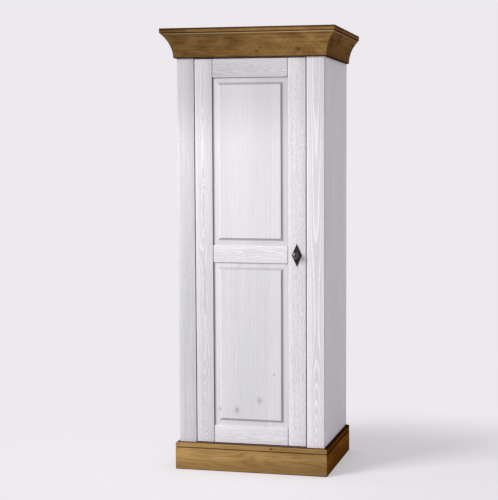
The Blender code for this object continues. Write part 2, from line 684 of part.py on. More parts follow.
def arm_route():
    """The arm's middle line in plan, from its eye on the pin, round the open door's edge, to its plate."""
    mouth = PIVOT_FROM_BACK + SEAM + FLANGE_THICKNESS
    lean = OPEN_ANGLE - math.pi / 2
    beside = PIVOT_INSET * math.sin(lean) + mouth * math.cos(lean) + ARM_CLEARANCE + ARM_THICKNESS / 2
    base = PLATE_RAIL_HEIGHT + 2 * SEAM + ARM_THICKNESS / 2 - SWING_RADIUS
    out_of_cup = mouth + ARM_THICKNESS
    corners = [(0, 0), (ARM_THICKNESS / 2, out_of_cup), (beside, out_of_cup + ARM_BEND),
               (beside, ARM_TURN_Y), (base, ARM_TURN_Y), (base, PLATE_REAR_Y - PIVOT_Y)]
    return round_corners(corners, {number: ARM_BEND for number in (1, 2, 3, 4)}, closed=False)


def thicken(route, thickness):
    """The outline of a strip of even thickness along a route."""
    points = [Vector(point) for point in route]
    left, right = [], []
    for number, point in enumerate(points):
        before = points[max(number - 1, 0)]
        after = points[min(number + 1, len(points) - 1)]
        way = (after - before).normalized()
        across = Vector((-way.y, way.x)) * thickness / 2
        left.append(tuple(point + across))
        right.append(tuple(point - across))
    return left + right[::-1]


def build_arm(label, pivot):
    """The cranked arm: a bent strip with an eye round the pin."""
    half = ARM_WIDTH / 2
    name = f"hinge_arm_{label}"
    arm = place(name, prism(name, thicken(arm_route(), ARM_THICKNESS), -half, half, "z"), "bright_steel",
                about=pivot)
    combine(arm, cylinder(name + "_eye", ARM_EYE_RADIUS, -half - SEAM, half + SEAM, (0, 0, 0), (0, 0, 1)),
            "UNION", pivot)
    combine(arm, cylinder(name + "_bore", PIN_RADIUS + PIN_PLAY, -half - OVERRUN, half + OVERRUN, (0, 0, 0),
                          (0, 0, 1), PIN_STEPS), "DIFFERENCE", pivot)


def plate_base_outline():
    """Side view of the mounting plate's foot: a cross with a long stem and two wings, as (y, z)."""
    stem = ARM_WIDTH / 2 + PLATE_BASE_MARGIN
    wing = PLATE_WING_WIDTH / 2
    tip = PLATE_WING_LENGTH / 2
    end = PLATE_RAIL_LENGTH / 2 + PLATE_BASE_MARGIN
    corners = [(-end, -stem), (-wing, -stem), (-wing, -tip), (wing, -tip), (wing, -stem), (end, -stem),
               (end, stem), (wing, stem), (wing, tip), (-wing, tip), (-wing, stem), (-end, stem)]
    return round_corners(corners, {number: PLATE_WING_ROUND for number in (2, 3, 8, 9)})


def build_hinge_plate(label, height):
    """The mounting plate on the batten: a cross-shaped foot and the rail that the arm lies on."""
    about = (SEAM - OPENING_X, (PLATE_FRONT_Y + PLATE_REAR_Y) / 2, height)
    name = f"hinge_plate_{label}"
    plate = place(name, prism(name, plate_base_outline(), 0, PLATE_BASE_THICKNESS, "x"), "bright_steel",
                  about=about)
    rail = block(name + "_rail", (PLATE_BASE_THICKNESS / 2, -PLATE_RAIL_LENGTH / 2, -ARM_WIDTH / 2),
                 (PLATE_RAIL_HEIGHT, PLATE_RAIL_LENGTH / 2, ARM_WIDTH / 2))
    combine(plate, rail, "UNION", about)


def build_hinges(axis):
    for label, height in HINGE_HEIGHTS.items():
        pivot = (PIVOT_X, PIVOT_Y, height)
        build_cup(label, pivot, axis)
        build_arm(label, pivot)
        build_hinge_plate(label, height)
    board("hinge_batten", (-OPENING_X - BATTEN_THICKNESS, BEHIND_FACE_Y, FLOOR_TOP + SEAM),
          (-OPENING_X, BATTEN_BACK_Y, CEILING - SEAM), "bare_pine")


# Knob and catch


def knob_profile():
    """Half section of the knob as (radius, distance out): a flared foot, a waist and a flattened ball."""
    half_ball = KNOB_RADIUS * BALL_FLATNESS_SHARE
    ball_middle = KNOB_LENGTH - half_ball
    turns = [math.radians(degrees) for degrees in range(-60, 90, 15)]
    ball = [(KNOB_RADIUS * math.cos(turn), ball_middle + half_ball * math.sin(turn)) for turn in turns]
    waist = ball[0][1] * WAIST_HEIGHT_SHARE
    return ([(0, SEAM), (KNOB_BASE_RADIUS, SEAM), (KNOB_BASE_RADIUS, SEAM + BACKPLATE_EASE),
             (KNOB_NECK_RADIUS, waist)] + ball + [(0, KNOB_LENGTH)])


def build_knob(axis):
    """The diamond backplate, the knob on it and the screw that holds the knob from inside the door."""
    half_x, half_z = BACKPLATE_WIDTH / 2, BACKPLATE_LENGTH / 2
    diamond = [(HANDLE_X - half_x, HANDLE_HEIGHT), (HANDLE_X, HANDLE_HEIGHT - half_z),
               (HANDLE_X + half_x, HANDLE_HEIGHT), (HANDLE_X, HANDLE_HEIGHT + half_z)]
    outline = round_corners(diamond, {number: BACKPLATE_TIP_ROUND for number in range(4)})
    plate_back = FRONT_Y - SEAM
    plate_front = plate_back - BACKPLATE_THICKNESS
    plate = place("knob_backplate", prism("knob_backplate", outline, plate_front, plate_back, "y"),
                  "black_iron", axis)
    ease_edges(plate, BACKPLATE_EASE)
    centre = (HANDLE_X, plate_front, HANDLE_HEIGHT)
    out = (0, -1, 0)
    combine(plate, cylinder("plate_hole", SCREW_RADIUS + SEAM, -BACKPLATE_THICKNESS - OVERRUN, OVERRUN, centre,
                            out, PIN_STEPS), "DIFFERENCE")
    knob = place("knob", turned("knob", knob_profile(), centre, out), "black_iron", axis)
    combine(knob, cylinder("knob_bore", SCREW_RADIUS + SEAM, -OVERRUN, SCREW_GRIP + 2 * SEAM, centre, out,
                           PIN_STEPS), "DIFFERENCE")
    shank_back = -(BACKPLATE_THICKNESS + SEAM + DOOR_THICKNESS + SEAM)
    head_back = shank_back - SCREW_HEAD_HEIGHT
    profile = [(0, SCREW_GRIP), (SCREW_RADIUS, SCREW_GRIP), (SCREW_RADIUS, shank_back),
               (SCREW_HEAD_RADIUS, shank_back), (SCREW_HEAD_RADIUS, head_back + SCREW_HEAD_HEIGHT / 2),
               (SCREW_HEAD_RADIUS - SCREW_HEAD_HEIGHT / 2, head_back), (0, head_back)]
    place("knob_screw", turned("knob_screw", profile, centre, out, PIN_STEPS), "bright_steel", axis)


def build_catch(axis):
    """The magnetic catch behind the knob-side face stile, and its strike plate on the door's back."""
    nose_y = DOOR_BACK_Y + SEAM + STRIKE_THICKNESS + SEAM
    rear_y = nose_y + CATCH_DEPTH
    outline = [(OPENING_X - CATCH_OVER_DOOR, nose_y), (OPENING_X, nose_y), (OPENING_X, BEHIND_FACE_Y),
               (OPENING_X + CATCH_ON_STILE, BEHIND_FACE_Y), (OPENING_X + CATCH_ON_STILE, rear_y),
               (OPENING_X - CATCH_OVER_DOOR, rear_y)]
    foot, head = HANDLE_HEIGHT - CATCH_HEIGHT / 2, HANDLE_HEIGHT + CATCH_HEIGHT / 2
    place("catch_housing", prism("catch_housing", outline, foot, head, "z"), "white_plastic")
    right = DOOR_X - STRIKE_FROM_EDGE
    strike_y = DOOR_BACK_Y + SEAM
    strike = block("strike_plate", (right - STRIKE_WIDTH, strike_y, HANDLE_HEIGHT - STRIKE_HEIGHT / 2),
                   (right, strike_y + STRIKE_THICKNESS, HANDLE_HEIGHT + STRIKE_HEIGHT / 2))
    place("strike_plate", strike, "bright_steel", axis)


def main():
    clear_scene()
    build_sides()
    build_decks()
    build_face_frame()
    build_back()
    build_shelves()
    build_mouldings("cornice", cornice_profile())
    build_mouldings("plinth", plinth_profile())
    axis = bpy.data.objects.new("door_axis", None)
    bpy.context.scene.collection.objects.link(axis)
    axis.location = (PIVOT_X, PIVOT_Y, DOOR_FOOT)
    build_door_stiles(axis)
    build_door_rails(axis)
    build_door_panels(axis)
    build_hinges(axis)
    build_knob(axis)
    build_catch(axis)


main()
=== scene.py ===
"""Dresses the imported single-door cupboard: softened boards, mouldings, fielded panels and fittings,
procedural pine, iron and steel, and a plain pale studio round it.

Metres, +Z up, the front facing -Y, as in the frame. Each new piece is modelled inside the box of the CAD node
that it stands for, and every wooden piece gets its own cut of the same pine.
"""

import json
import math
import random
from contextlib import contextmanager
from dataclasses import dataclass

import bpy
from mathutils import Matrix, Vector


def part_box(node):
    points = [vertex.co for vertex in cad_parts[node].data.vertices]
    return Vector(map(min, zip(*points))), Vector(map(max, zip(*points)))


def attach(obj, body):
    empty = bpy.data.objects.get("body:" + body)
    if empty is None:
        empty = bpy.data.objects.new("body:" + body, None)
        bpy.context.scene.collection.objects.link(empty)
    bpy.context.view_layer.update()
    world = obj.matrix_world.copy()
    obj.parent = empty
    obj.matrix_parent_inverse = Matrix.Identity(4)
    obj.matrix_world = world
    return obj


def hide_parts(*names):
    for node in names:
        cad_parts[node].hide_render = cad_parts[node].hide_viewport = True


bl_info = {
    "name": "Panelled Cupboard",
    "version": (1, 0, 0),
    "blender": (4, 5, 0),
    "location": "3D View > Sidebar > Cupboard",
    "description": "Dresses a single-door cupboard in glazed and oiled pine and sets up its studio",
    "category": "Object",
}

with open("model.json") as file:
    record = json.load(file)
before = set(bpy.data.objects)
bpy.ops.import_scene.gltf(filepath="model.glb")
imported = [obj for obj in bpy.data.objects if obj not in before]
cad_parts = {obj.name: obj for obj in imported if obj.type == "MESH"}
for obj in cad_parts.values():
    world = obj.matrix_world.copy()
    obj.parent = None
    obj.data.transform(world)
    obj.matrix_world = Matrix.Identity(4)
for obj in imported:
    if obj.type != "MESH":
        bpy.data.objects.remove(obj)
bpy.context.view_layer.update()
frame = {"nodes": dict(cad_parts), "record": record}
RECORD = frame["record"]
BODY_OF = {node: body for body, nodes in RECORD["behaviour"]["bodies"].items() for node in nodes}
SLOT_OF = {part["node"]: part["material_slot"] for part in RECORD["subparts"]}

# Planes of the frame that several pieces share
FRONT_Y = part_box("face_stile_left")[0].y
OUTER_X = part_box("face_stile_right")[1].x
BACK_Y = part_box("side_panel_right")[1].y
SIGHT_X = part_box("door_stile_right")[0].x
CORNICE_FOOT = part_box("cornice_front")[0].z

TINY = 1e-5  # how exactly a corner or face is found by its place
SEAM = 3e-4  # room between two pieces, and in a groove or housing
OVERRUN = 0.01  # how far a cutter reaches past the board that it cuts
FAR = 9.0  # outside the cupboard on every side


# Settings


def size_setting(name, description, default, low, high):
    return bpy.props.FloatProperty(
        name=name, description=description, default=default, min=low, max=high, unit="LENGTH")


def colour_setting(name, description, red, green, blue):
    return bpy.props.FloatVectorProperty(
        name=name, description=description, default=(red, green, blue, 1.0), size=4, subtype="COLOR",
        min=0.0, max=1.0)


def place_setting(name, description, *default):
    return bpy.props.FloatVectorProperty(
        name=name, description=description, default=default, size=3, subtype="TRANSLATION")


def power_setting(name, description, default):
    return bpy.props.FloatProperty(name=name, description=description, default=default, min=0.0, unit="POWER")


class CupboardSizes(bpy.types.PropertyGroup):
    """Sizes of the details that the looks add to the frame."""

    edge_round: size_setting(
        "Edge rounding", "Radius along the edges of the carcass boards", 0.0015, 0.0002, 0.004)
    joint_ease: size_setting(
        "Joint easing", "Rounding of the door frame's boards, which shows as a line at each joint",
        0.0012, 0.0002, 0.003)
    round_steps: bpy.props.IntProperty(
        name="Rounding steps", description="Facets across each rounded edge", default=3, min=1, max=8)
    cove_steps: bpy.props.IntProperty(
        name="Cove steps", description="Facets across the cornice's cove", default=16, min=6, max=48)
    panel_border: size_setting(
        "Panel border", "Width of the sloping border round each raised field", 0.020, 0.010, 0.040)
    panel_hollow: size_setting(
        "Panel hollow", "Width of the hollow between the border and the field", 0.012, 0.002, 0.015)
    panel_step: size_setting(
        "Panel step", "Height that the hollow rises from the border to the field", 0.0036, 0.001, 0.0065)
    dent_depth: size_setting("Dent depth", "How far the hammer marks go into the knob", 0.0005, 0.0, 0.001)


class CupboardColours(bpy.types.PropertyGroup):
    """Colours of the finishes and of the studio."""

    glaze_ground: colour_setting("Glaze ground", "White glaze over the soft grain", 0.680, 0.645, 0.677)
    # Also the pale colour of the painted highlight along the glazed boards' edges
    glaze_line: colour_setting("Glaze line", "Thicker glaze, left in the brushed grain", 0.84, 0.81, 0.845)
    glaze_grey: colour_setting("Glaze grey", "Thin glaze that the wood shows through", 0.618, 0.614, 0.620)
    # Painted shade: the dark colour painted into gaps, joints and the panels' hollows, with the dark joint
    # lines
    glaze_joint: colour_setting("Glaze joint", "Dusty glaze in joints and gaps", 0.16, 0.15, 0.165)
    glaze_knot: colour_setting("Glazed knot", "Knots under the glaze", 0.30, 0.29, 0.32)
    honey_light: colour_setting("Honey light", "Oiled pine, soft grain", 0.49, 0.300, 0.108)
    honey_dark: colour_setting("Honey dark", "Oiled pine, hard grain and edges", 0.19, 0.095, 0.025)
    # Also the darkest colour of the painted shade lines in the mouldings' quirk, groove and feet
    honey_knot: colour_setting("Honey knot", "Knots in the oiled pine", 0.055, 0.018, 0.010)
    # Painted highlight: the pale colour painted on the cornice's bead, where it catches the light
    honey_rubbed: colour_setting("Honey rubbed", "Oiled pine that cloths have rubbed thin", 0.70, 0.50, 0.25)
    bare_light: colour_setting("Bare pine light", "Planed pine, soft grain", 0.66, 0.50, 0.31)
    bare_dark: colour_setting("Bare pine dark", "Planed pine, hard grain", 0.50, 0.33, 0.17)
    iron: colour_setting("Black iron", "Antique iron of the knob and its plate", 0.012, 0.011, 0.010)
    iron_worn: colour_setting("Worn iron", "Rubbed ridges between the hammer marks", 0.36, 0.34, 0.27)
    steel: colour_setting("Bright steel", "Nickel-plated hinges and screws", 0.55, 0.55, 0.56)
    plastic: colour_setting("White plastic", "Housing of the magnetic catch", 0.75, 0.75, 0.74)
    backdrop: colour_setting("Backdrop", "Studio background and floor", 0.84, 0.82, 0.85)
    paper: colour_setting("Floor paper", "Floor near the cupboard, which takes its shadow", 0.59, 0.58, 0.595)


class CupboardStage(bpy.types.PropertyGroup):
    """Camera and lamps of the studio."""

    camera_place: place_setting("Camera place", "Where the camera stands", 1.4061, -5.2242, 1.3778)
    camera_turn: bpy.props.FloatVectorProperty(
        name="Camera turn", description="How the camera is turned", size=3, subtype="EULER",
        default=(math.radians(85.44), 0.0, math.radians(12.21)))
    camera_lens: bpy.props.FloatProperty(
        name="Lens", description="Focal length in millimetres on a 36 mm wide sensor", default=88.05)
    camera_shift: bpy.props.FloatProperty(
        name="Shift", description="Sideways shift of the lens, as a share of the picture", default=-0.15)
    key_place: place_setting("Key lamp place", "Where the main softbox hangs", -7.95, -7.62, 6.02)
    key_aim: place_setting("Key lamp aim", "What the main softbox faces", 0.0, FRONT_Y, 0.95)
    key_power: power_setting("Key lamp power", "Power of the main softbox", 1295.0)
    key_size: size_setting("Key lamp size", "Side of the main softbox", 5.2, 0.1, 20.0)
    spot_place: place_setting("Spot lamp place", "Where the soft spot lamp stands", -1.3, -4.6, 4.0)
    spot_aim: place_setting("Spot lamp aim", "What the soft spot lamp faces", -0.32, FRONT_Y, 1.34)
    spot_power: power_setting("Spot lamp power", "Power of the soft spot lamp", 118.0)
    spot_size: size_setting("Spot lamp size", "Width of the soft spot lamp", 0.30, 0.01, 2.0)
    spot_angle: bpy.props.FloatProperty(
        name="Spot lamp angle", description="Spread of the soft spot lamp", default=math.radians(12.8),
        min=math.radians(1), max=math.pi, subtype="ANGLE")
    room_light: bpy.props.FloatProperty(
        name="Room light", description="Strength of the light from the studio's walls", default=0.55, min=0.0)


def sizes():
    return bpy.context.scene.cupboard_sizes


def colours():
    return bpy.context.scene.cupboard_colours


def stage_settings():
    return bpy.context.scene.cupboard_stage


# Modelling by hand: a box, a choice of its faces or edges, and finished pieces


def select_only(piece=None):
    """Deselects everything, and then selects one piece and makes it active, if one is given."""
    bpy.ops.object.select_all(action="DESELECT")
    if piece:
        piece.select_set(True)
        bpy.context.view_layer.objects.active = piece


def settle(name):
    """Names the active object and leaves its place, turn and size in its mesh."""
    bpy.ops.object.transform_apply(location=True, rotation=True, scale=True)
    piece = bpy.context.active_object
    piece.name = name
    piece.data.name = name
    return piece


def new_box(name, low, high):
    """Adds a cube stretched between two corners, with its place and size in its mesh."""
    low, high = Vector(low), Vector(high)
    select_only()
    bpy.ops.mesh.primitive_cube_add(size=1, location=(low + high) / 2, scale=high - low)
    return settle(name)


@contextmanager
def chosen(piece, kind, test):
    """Holds a piece in edit mode with only those faces, edges or corners selected that pass a test."""
    bpy.context.view_layer.objects.active = piece
    bpy.ops.object.mode_set(mode="EDIT")
    bpy.ops.mesh.select_mode(type=kind)
    bpy.ops.mesh.select_all(action="DESELECT")
    bpy.ops.object.mode_set(mode="OBJECT")
    mesh = piece.data
    if kind == "VERT":
        for corner in mesh.vertices:
            corner.select = test(corner.co)
    elif kind == "EDGE":
        for edge in mesh.edges:
            first, last = (mesh.vertices[number].co for number in edge.vertices)
            edge.select = test((first + last) / 2, last - first)
    else:
        for face in mesh.polygons:
            face.select = test(face.center, face.normal)
    bpy.ops.object.mode_set(mode="EDIT")
    yield
    bpy.ops.object.mode_set(mode="OBJECT")


def all_of_it(middle, way):
    return True


def faces_front(middle, normal):
    return normal.y < -0.9


def tidy_mesh(piece):
    """Merges doubled corners and turns all faces outwards."""
    with chosen(piece, "FACE", all_of_it):
        bpy.ops.mesh.remove_doubles(threshold=TINY)
        bpy.ops.mesh.normals_make_consistent(inside=False)


def smooth(piece, degrees=32):
    select_only(piece)
    bpy.ops.object.shade_smooth_by_angle(angle=math.radians(degrees))


def round_edges(piece, radius, steps, test=all_of_it):
    """Bevels the chosen edges of a piece."""
    with chosen(piece, "EDGE", test):
        bpy.ops.mesh.bevel(offset=radius, segments=steps, affect="EDGES", clamp_overlap=True)


def carve(piece, tool):
    """Cuts a helper solid out of a piece and deletes the helper."""
    modifier = piece.modifiers.new(tool.name, "BOOLEAN")
    modifier.solver = "EXACT"
    modifier.operation = "DIFFERENCE"
    modifier.object = tool
    select_only(piece)
    bpy.ops.object.modifier_apply(modifier=modifier.name)
    bpy.data.objects.remove(tool)


def dress(piece, material):
    piece.data.materials.clear()
    piece.data.materials.append(material)


def finish_piece(piece, material, node, replaces=True):
    """Gives a piece its material and lets it ride with the body of a CAD node, which it may stand for."""
    dress(piece, material)
    if replaces:
        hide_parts(node)
    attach(piece, BODY_OF[node])


# Node trees


class Tree:
    """Short ways to add nodes to a tree and to join them."""

    def __init__(self, tree):
        self.tree = tree

    def add(self, kind, feeds=(), **settings):
        node = self.tree.nodes.new(kind)
        for name, value in settings.items():
            setattr(node, name, value)
        for key, value in dict(feeds).items():
            self.feed(node.inputs[key], value)
        return node

    def feed(self, socket, value):
        if isinstance(value, bpy.types.NodeSocket):
            self.tree.links.new(value, socket)
        else:
            socket.default_value = value

    def math(self, operation, first, second=0.0, third=0.0, clamp=False):
        return self.add("ShaderNodeMath", {0: first, 1: second, 2: third}, operation=operation,
                        use_clamp=clamp).outputs[0]

    def plus(self, first, *others):
        for other in others:
            first = self.math("ADD", first, other)
        return first

    def less(self, first, second):
        return self.math("SUBTRACT", first, second)

    def times(self, first, *others):
        for other in others:
            first = self.math("MULTIPLY", first, other)
        return first

    def line(self, value, slope, start):
        """value * slope + start."""
        return self.math("MULTIPLY_ADD", value, slope, start)

    def over(self, first, second):
        return self.math("DIVIDE", first, second)

    def parts(self, vector):
        """The x, y and z of a vector."""
        return self.add("ShaderNodeSeparateXYZ", {0: vector}).outputs

    def vector(self, operation, first, second=(0.0, 0.0, 0.0)):
        return self.add("ShaderNodeVectorMath", {0: first, 1: second}, operation=operation).outputs[0]

    def length(self, vector):
        return self.add("ShaderNodeVectorMath", {0: vector}, operation="LENGTH").outputs["Value"]

    def noise(self, vector, scale, detail=2.0, roughness=0.5):
        return self.add("ShaderNodeTexNoise", {"Vector": vector, "Scale": scale, "Detail": detail,
                                               "Roughness": roughness}).outputs["Fac"]

    def span(self, value, low, high, start=0.0, end=1.0):
        """Eases a value from low to high over into start to end."""
        return self.add("ShaderNodeMapRange", {0: value, 1: low, 2: high, 3: start, 4: end},
                        interpolation_type="SMOOTHSTEP").outputs[0]

    def mix(self, share, first, second, blend="MIX"):
        return self.add("ShaderNodeMix", {0: share, 6: first, 7: second}, data_type="RGBA",
                        blend_type=blend).outputs[2]

    def scaled(self, colour, *factors):
        """Multiplies a colour by factors, each a value or a colour."""
        for factor in factors:
            if isinstance(factor, bpy.types.NodeSocket):
                factor = self.add("ShaderNodeCombineXYZ", {0: factor, 1: factor, 2: factor}).outputs[0]
            colour = self.mix(1.0, colour, factor, "MULTIPLY")
        return colour

    def effect(self, name, feeds):
        """Adds the node group of that name, which is built the first time that it is asked for."""
        group = bpy.data.node_groups.get(name) or EFFECTS[name]()
        return self.add("ShaderNodeGroup", feeds, node_tree=group).outputs


class Look(Tree):
    """The node tree of a new material, with its shader and its Object coordinates."""

    def __init__(self, name):
        self.material = bpy.data.materials.new(name)
        self.material.use_nodes = True
        super().__init__(self.material.node_tree)
        self.shader = self.tree.nodes["Principled BSDF"]
        self.coordinates = self.add("ShaderNodeTexCoord").outputs["Object"]

    def finish(self, colour, roughness, bump=None, metallic=0.0, gloss=0.5):
        """Feeds the shader and returns the material. bump is (strength, distance, height)."""
        for name, value in (("Base Color", colour), ("Roughness", roughness), ("Metallic", metallic),
                            ("Specular IOR Level", gloss)):
            self.feed(self.shader.inputs[name], value)
        if bump:
            self.feed(self.shader.inputs["Normal"],
                      self.add("ShaderNodeBump", zip(("Strength", "Distance", "Height"), bump)).outputs[0])
        return self.material


def start_group(name, *floats, vectors=("Vector",)):
    """A new node group with named input sockets. Returns its tree and its inputs."""
    group = bpy.data.node_groups.new(name, "ShaderNodeTree")
    for kind, sockets in (("NodeSocketVector", vectors), ("NodeSocketFloat", floats)):
        for socket in sockets:
            group.interface.new_socket(name=socket, in_out="INPUT", socket_type=kind)
    tree = Tree(group)
    return tree, tree.add("NodeGroupInput").outputs


def end_group(tree, **results):
    """Gives a node group an output socket for each result, and returns the group."""
    for name in results:
        tree.tree.interface.new_socket(name=name, in_out="OUTPUT", socket_type="NodeSocketFloat")
    tree.add("NodeGroupOutput", results)
    return tree.tree


def build_pine_figure():
    """Growth rings as the board cuts them: the distance from a leaning, bowed pith, bent by slow waves, gives
    arches, ovals and straight lines. Fibre and Streak are brushed lines, Fleck short brushed marks and Cloud
    a slow change of tone."""
    tree, given = start_group(
        "Pine figure", "Across", "Depth", "Lean", "Turn", "Bow", "Ring Width", "Waviness", "Bulge", "Drift")

    def grain(share, scale, *detail):
        """Noise that is drawn out along the board, to the inverse of share."""
        drawn = tree.add("ShaderNodeCombineXYZ", {0: 1.0, 1: 1.0, 2: share}).outputs[0]
        return tree.noise(tree.vector("MULTIPLY", given["Vector"], drawn), scale, *detail)

    x, y, z = tree.parts(given["Vector"])
    past_turn = tree.less(z, given["Turn"])
    below_turn = tree.math("MINIMUM", past_turn, 0.0)
    pith = tree.plus(tree.times(past_turn, given["Lean"]), tree.times(below_turn, below_turn, given["Bow"]))
    inward = tree.less(tree.plus(y, given["Depth"]), pith)
    across = tree.less(x, given["Across"])
    radius = tree.math("SQRT", tree.plus(tree.times(across, across), tree.times(inward, inward)))
    slow_wave, quick_wave = (tree.less(grain(0.16, scale), 0.5) for scale in (13.0, 60.0))
    bend = tree.line(quick_wave, 0.22, slow_wave)
    radius = tree.plus(tree.line(bend, given["Waviness"], radius), given["Bulge"])
    phase = tree.math("FRACT", tree.over(radius, given["Ring Width"]))
    return end_group(
        tree, Ring=tree.times(tree.span(phase, 0.30, 0.80), tree.span(phase, 0.84, 1.0, 1.0, 0.0)),
        Fibre=grain(0.022, 520.0, 3.0, 0.6), Streak=grain(0.012, 130.0),
        Cloud=grain(given["Drift"], 22.0, 3.0, 0.55), Fleck=grain(0.30, 190.0, 2.0, 0.6))


def build_knot():
    """A small round knot that goes straight into the board: Mark is its spot, and Bulge pushes the rings
    away."""
    tree, given = start_group("Knot", "Size", vectors=("Vector", "Place"))
    away = tree.vector("MULTIPLY", tree.vector("SUBTRACT", given["Vector"], given["Place"]), (1.0, 0.0, 0.75))
    ragged = tree.line(tree.noise(given["Vector"], 260.0, 3.0), 0.9, 0.55)
    ratio = tree.over(tree.length(away), tree.times(given["Size"], ragged))
    heart = tree.span(ratio, 0.10, 0.55, 1.0, 0.50)
    fade = tree.math("EXPONENT", tree.times(ratio, ratio, -0.09))
    return end_group(tree, Mark=tree.times(tree.span(ratio, 0.15, 1.15, 1.0, 0.0), heart),
                     Bulge=tree.times(fade, given["Size"], 1.6))


def build_board_edge():
    """How near a point lies to the outline of its board: 1 on the edge, 0 further in than Width."""
    tree, given = start_group("Board edge", "Width", vectors=("Vector", "Low", "High"))
    nearest, *others = (*tree.parts(tree.vector("SUBTRACT", given["Vector"], given["Low"])),
                        *tree.parts(tree.vector("SUBTRACT", given["High"], given["Vector"])))
    for other in others:
        nearest = tree.math("MINIMUM", nearest, other)
    uneven = tree.line(tree.noise(given["Vector"], 90.0), 0.8, 0.6)
    share = tree.over(nearest, tree.times(given["Width"], uneven))
    return end_group(tree, Edge=tree.span(share, 0.0, 1.0, 1.0, 0.0))


def build_staves():
    """The two tones of the staves that a wide panel is glued up from, with one of their joints at Joint."""
    tree, given = start_group("Staves", "Width", "Joint")
    bent = tree.line(tree.noise(given["Vector"], 9.0), 0.02, tree.parts(given["Vector"])[0])
    count = tree.plus(tree.over(tree.less(bent, given["Joint"]), given["Width"]), 0.5)
    return end_group(tree, Tone=tree.span(tree.math("PINGPONG", count, 1.0), 0.42, 0.58))


def build_stain_line():
    """A level line where colour is painted darker or lighter, mostly painted shade: 1 on the line, 0 further
    off than Width.
    """
    tree, given = start_group("Stain line", "Level", "Width")
    away = tree.math("ABSOLUTE", tree.less(tree.parts(given["Vector"])[2], given["Level"]))
    return end_group(tree, Line=tree.span(tree.over(away, given["Width"]), 0.3, 1.0, 1.0, 0.0))


def build_hammer_marks():
    """Shallow round hammer marks: Height is the surface, Worn is high on the ridges between them."""
    tree, given = start_group("Hammer marks", "Scale")
    cells = tree.add("ShaderNodeTexVoronoi", {"Vector": given["Vector"], "Scale": given["Scale"],
                                              "Smoothness": 0.6}, feature="SMOOTH_F1").outputs["Distance"]
    grit = tree.noise(given["Vector"], 1400.0, 3.0)
    return end_group(tree, Height=tree.line(grit, 0.08, cells),
                     Worn=tree.times(tree.span(cells, 0.35, 0.75), grit))


EFFECTS = {"Pine figure": build_pine_figure, "Knot": build_knot, "Board edge": build_board_edge,
           "Staves": build_staves, "Stain line": build_stain_line, "Hammer marks": build_hammer_marks}


# Pine: how each board was cut from its log, and its finish


@dataclass
class Cut:
    """How a board lies in its log, and how its finish has taken."""

    across: float = 0.0  # place of the pith across the board
    depth: float = 0.05  # and how deep it lies behind the face
    lean: float = 0.0  # how it leans along the board
    turn: float = 0.0  # below this height it also bows away from the face,
    bow: float = 0.0  # by this much
    ring: float = 0.0045  # width of the growth rings
    wave: float = 0.012  # how far they bend
    drift: float = 0.14  # stretches the clouds of tone along the board: the less, the longer
    grey: float = 0.35  # share of greyish glaze
    lines: float = 0.5  # strength of the white lines
    brush: float = 1.0  # strength of the brushed streaks
    fleck: float = 0.3  # strength of the short brushed marks
    staves: tuple = ()  # width of a panel's glued staves, and place of one of their joints
    knots: tuple = ()  # each (x, y, z, radius), in the frame
    tint: tuple = (1.0, 1.0, 1.0)  # how the board's colour differs from its finish: its own tone, and on some boards painted light or shade
    fade: float = 0.0  # painted light: how much paler than its middle the board is painted at its right or top end, as the light falls off along it
    dull: float = 0.0  # painted shade: how much darker it is painted right under the cornice, in the cornice's shade
    cloud: float = 0.62  # strength of the dark clouds in clear pine


def side_cut(depth, lean, *tint):
    """The cut of a moulding's side length."""
    return Cut(0.02, depth, lean, ring=0.0060, wave=0.030, tint=tint)
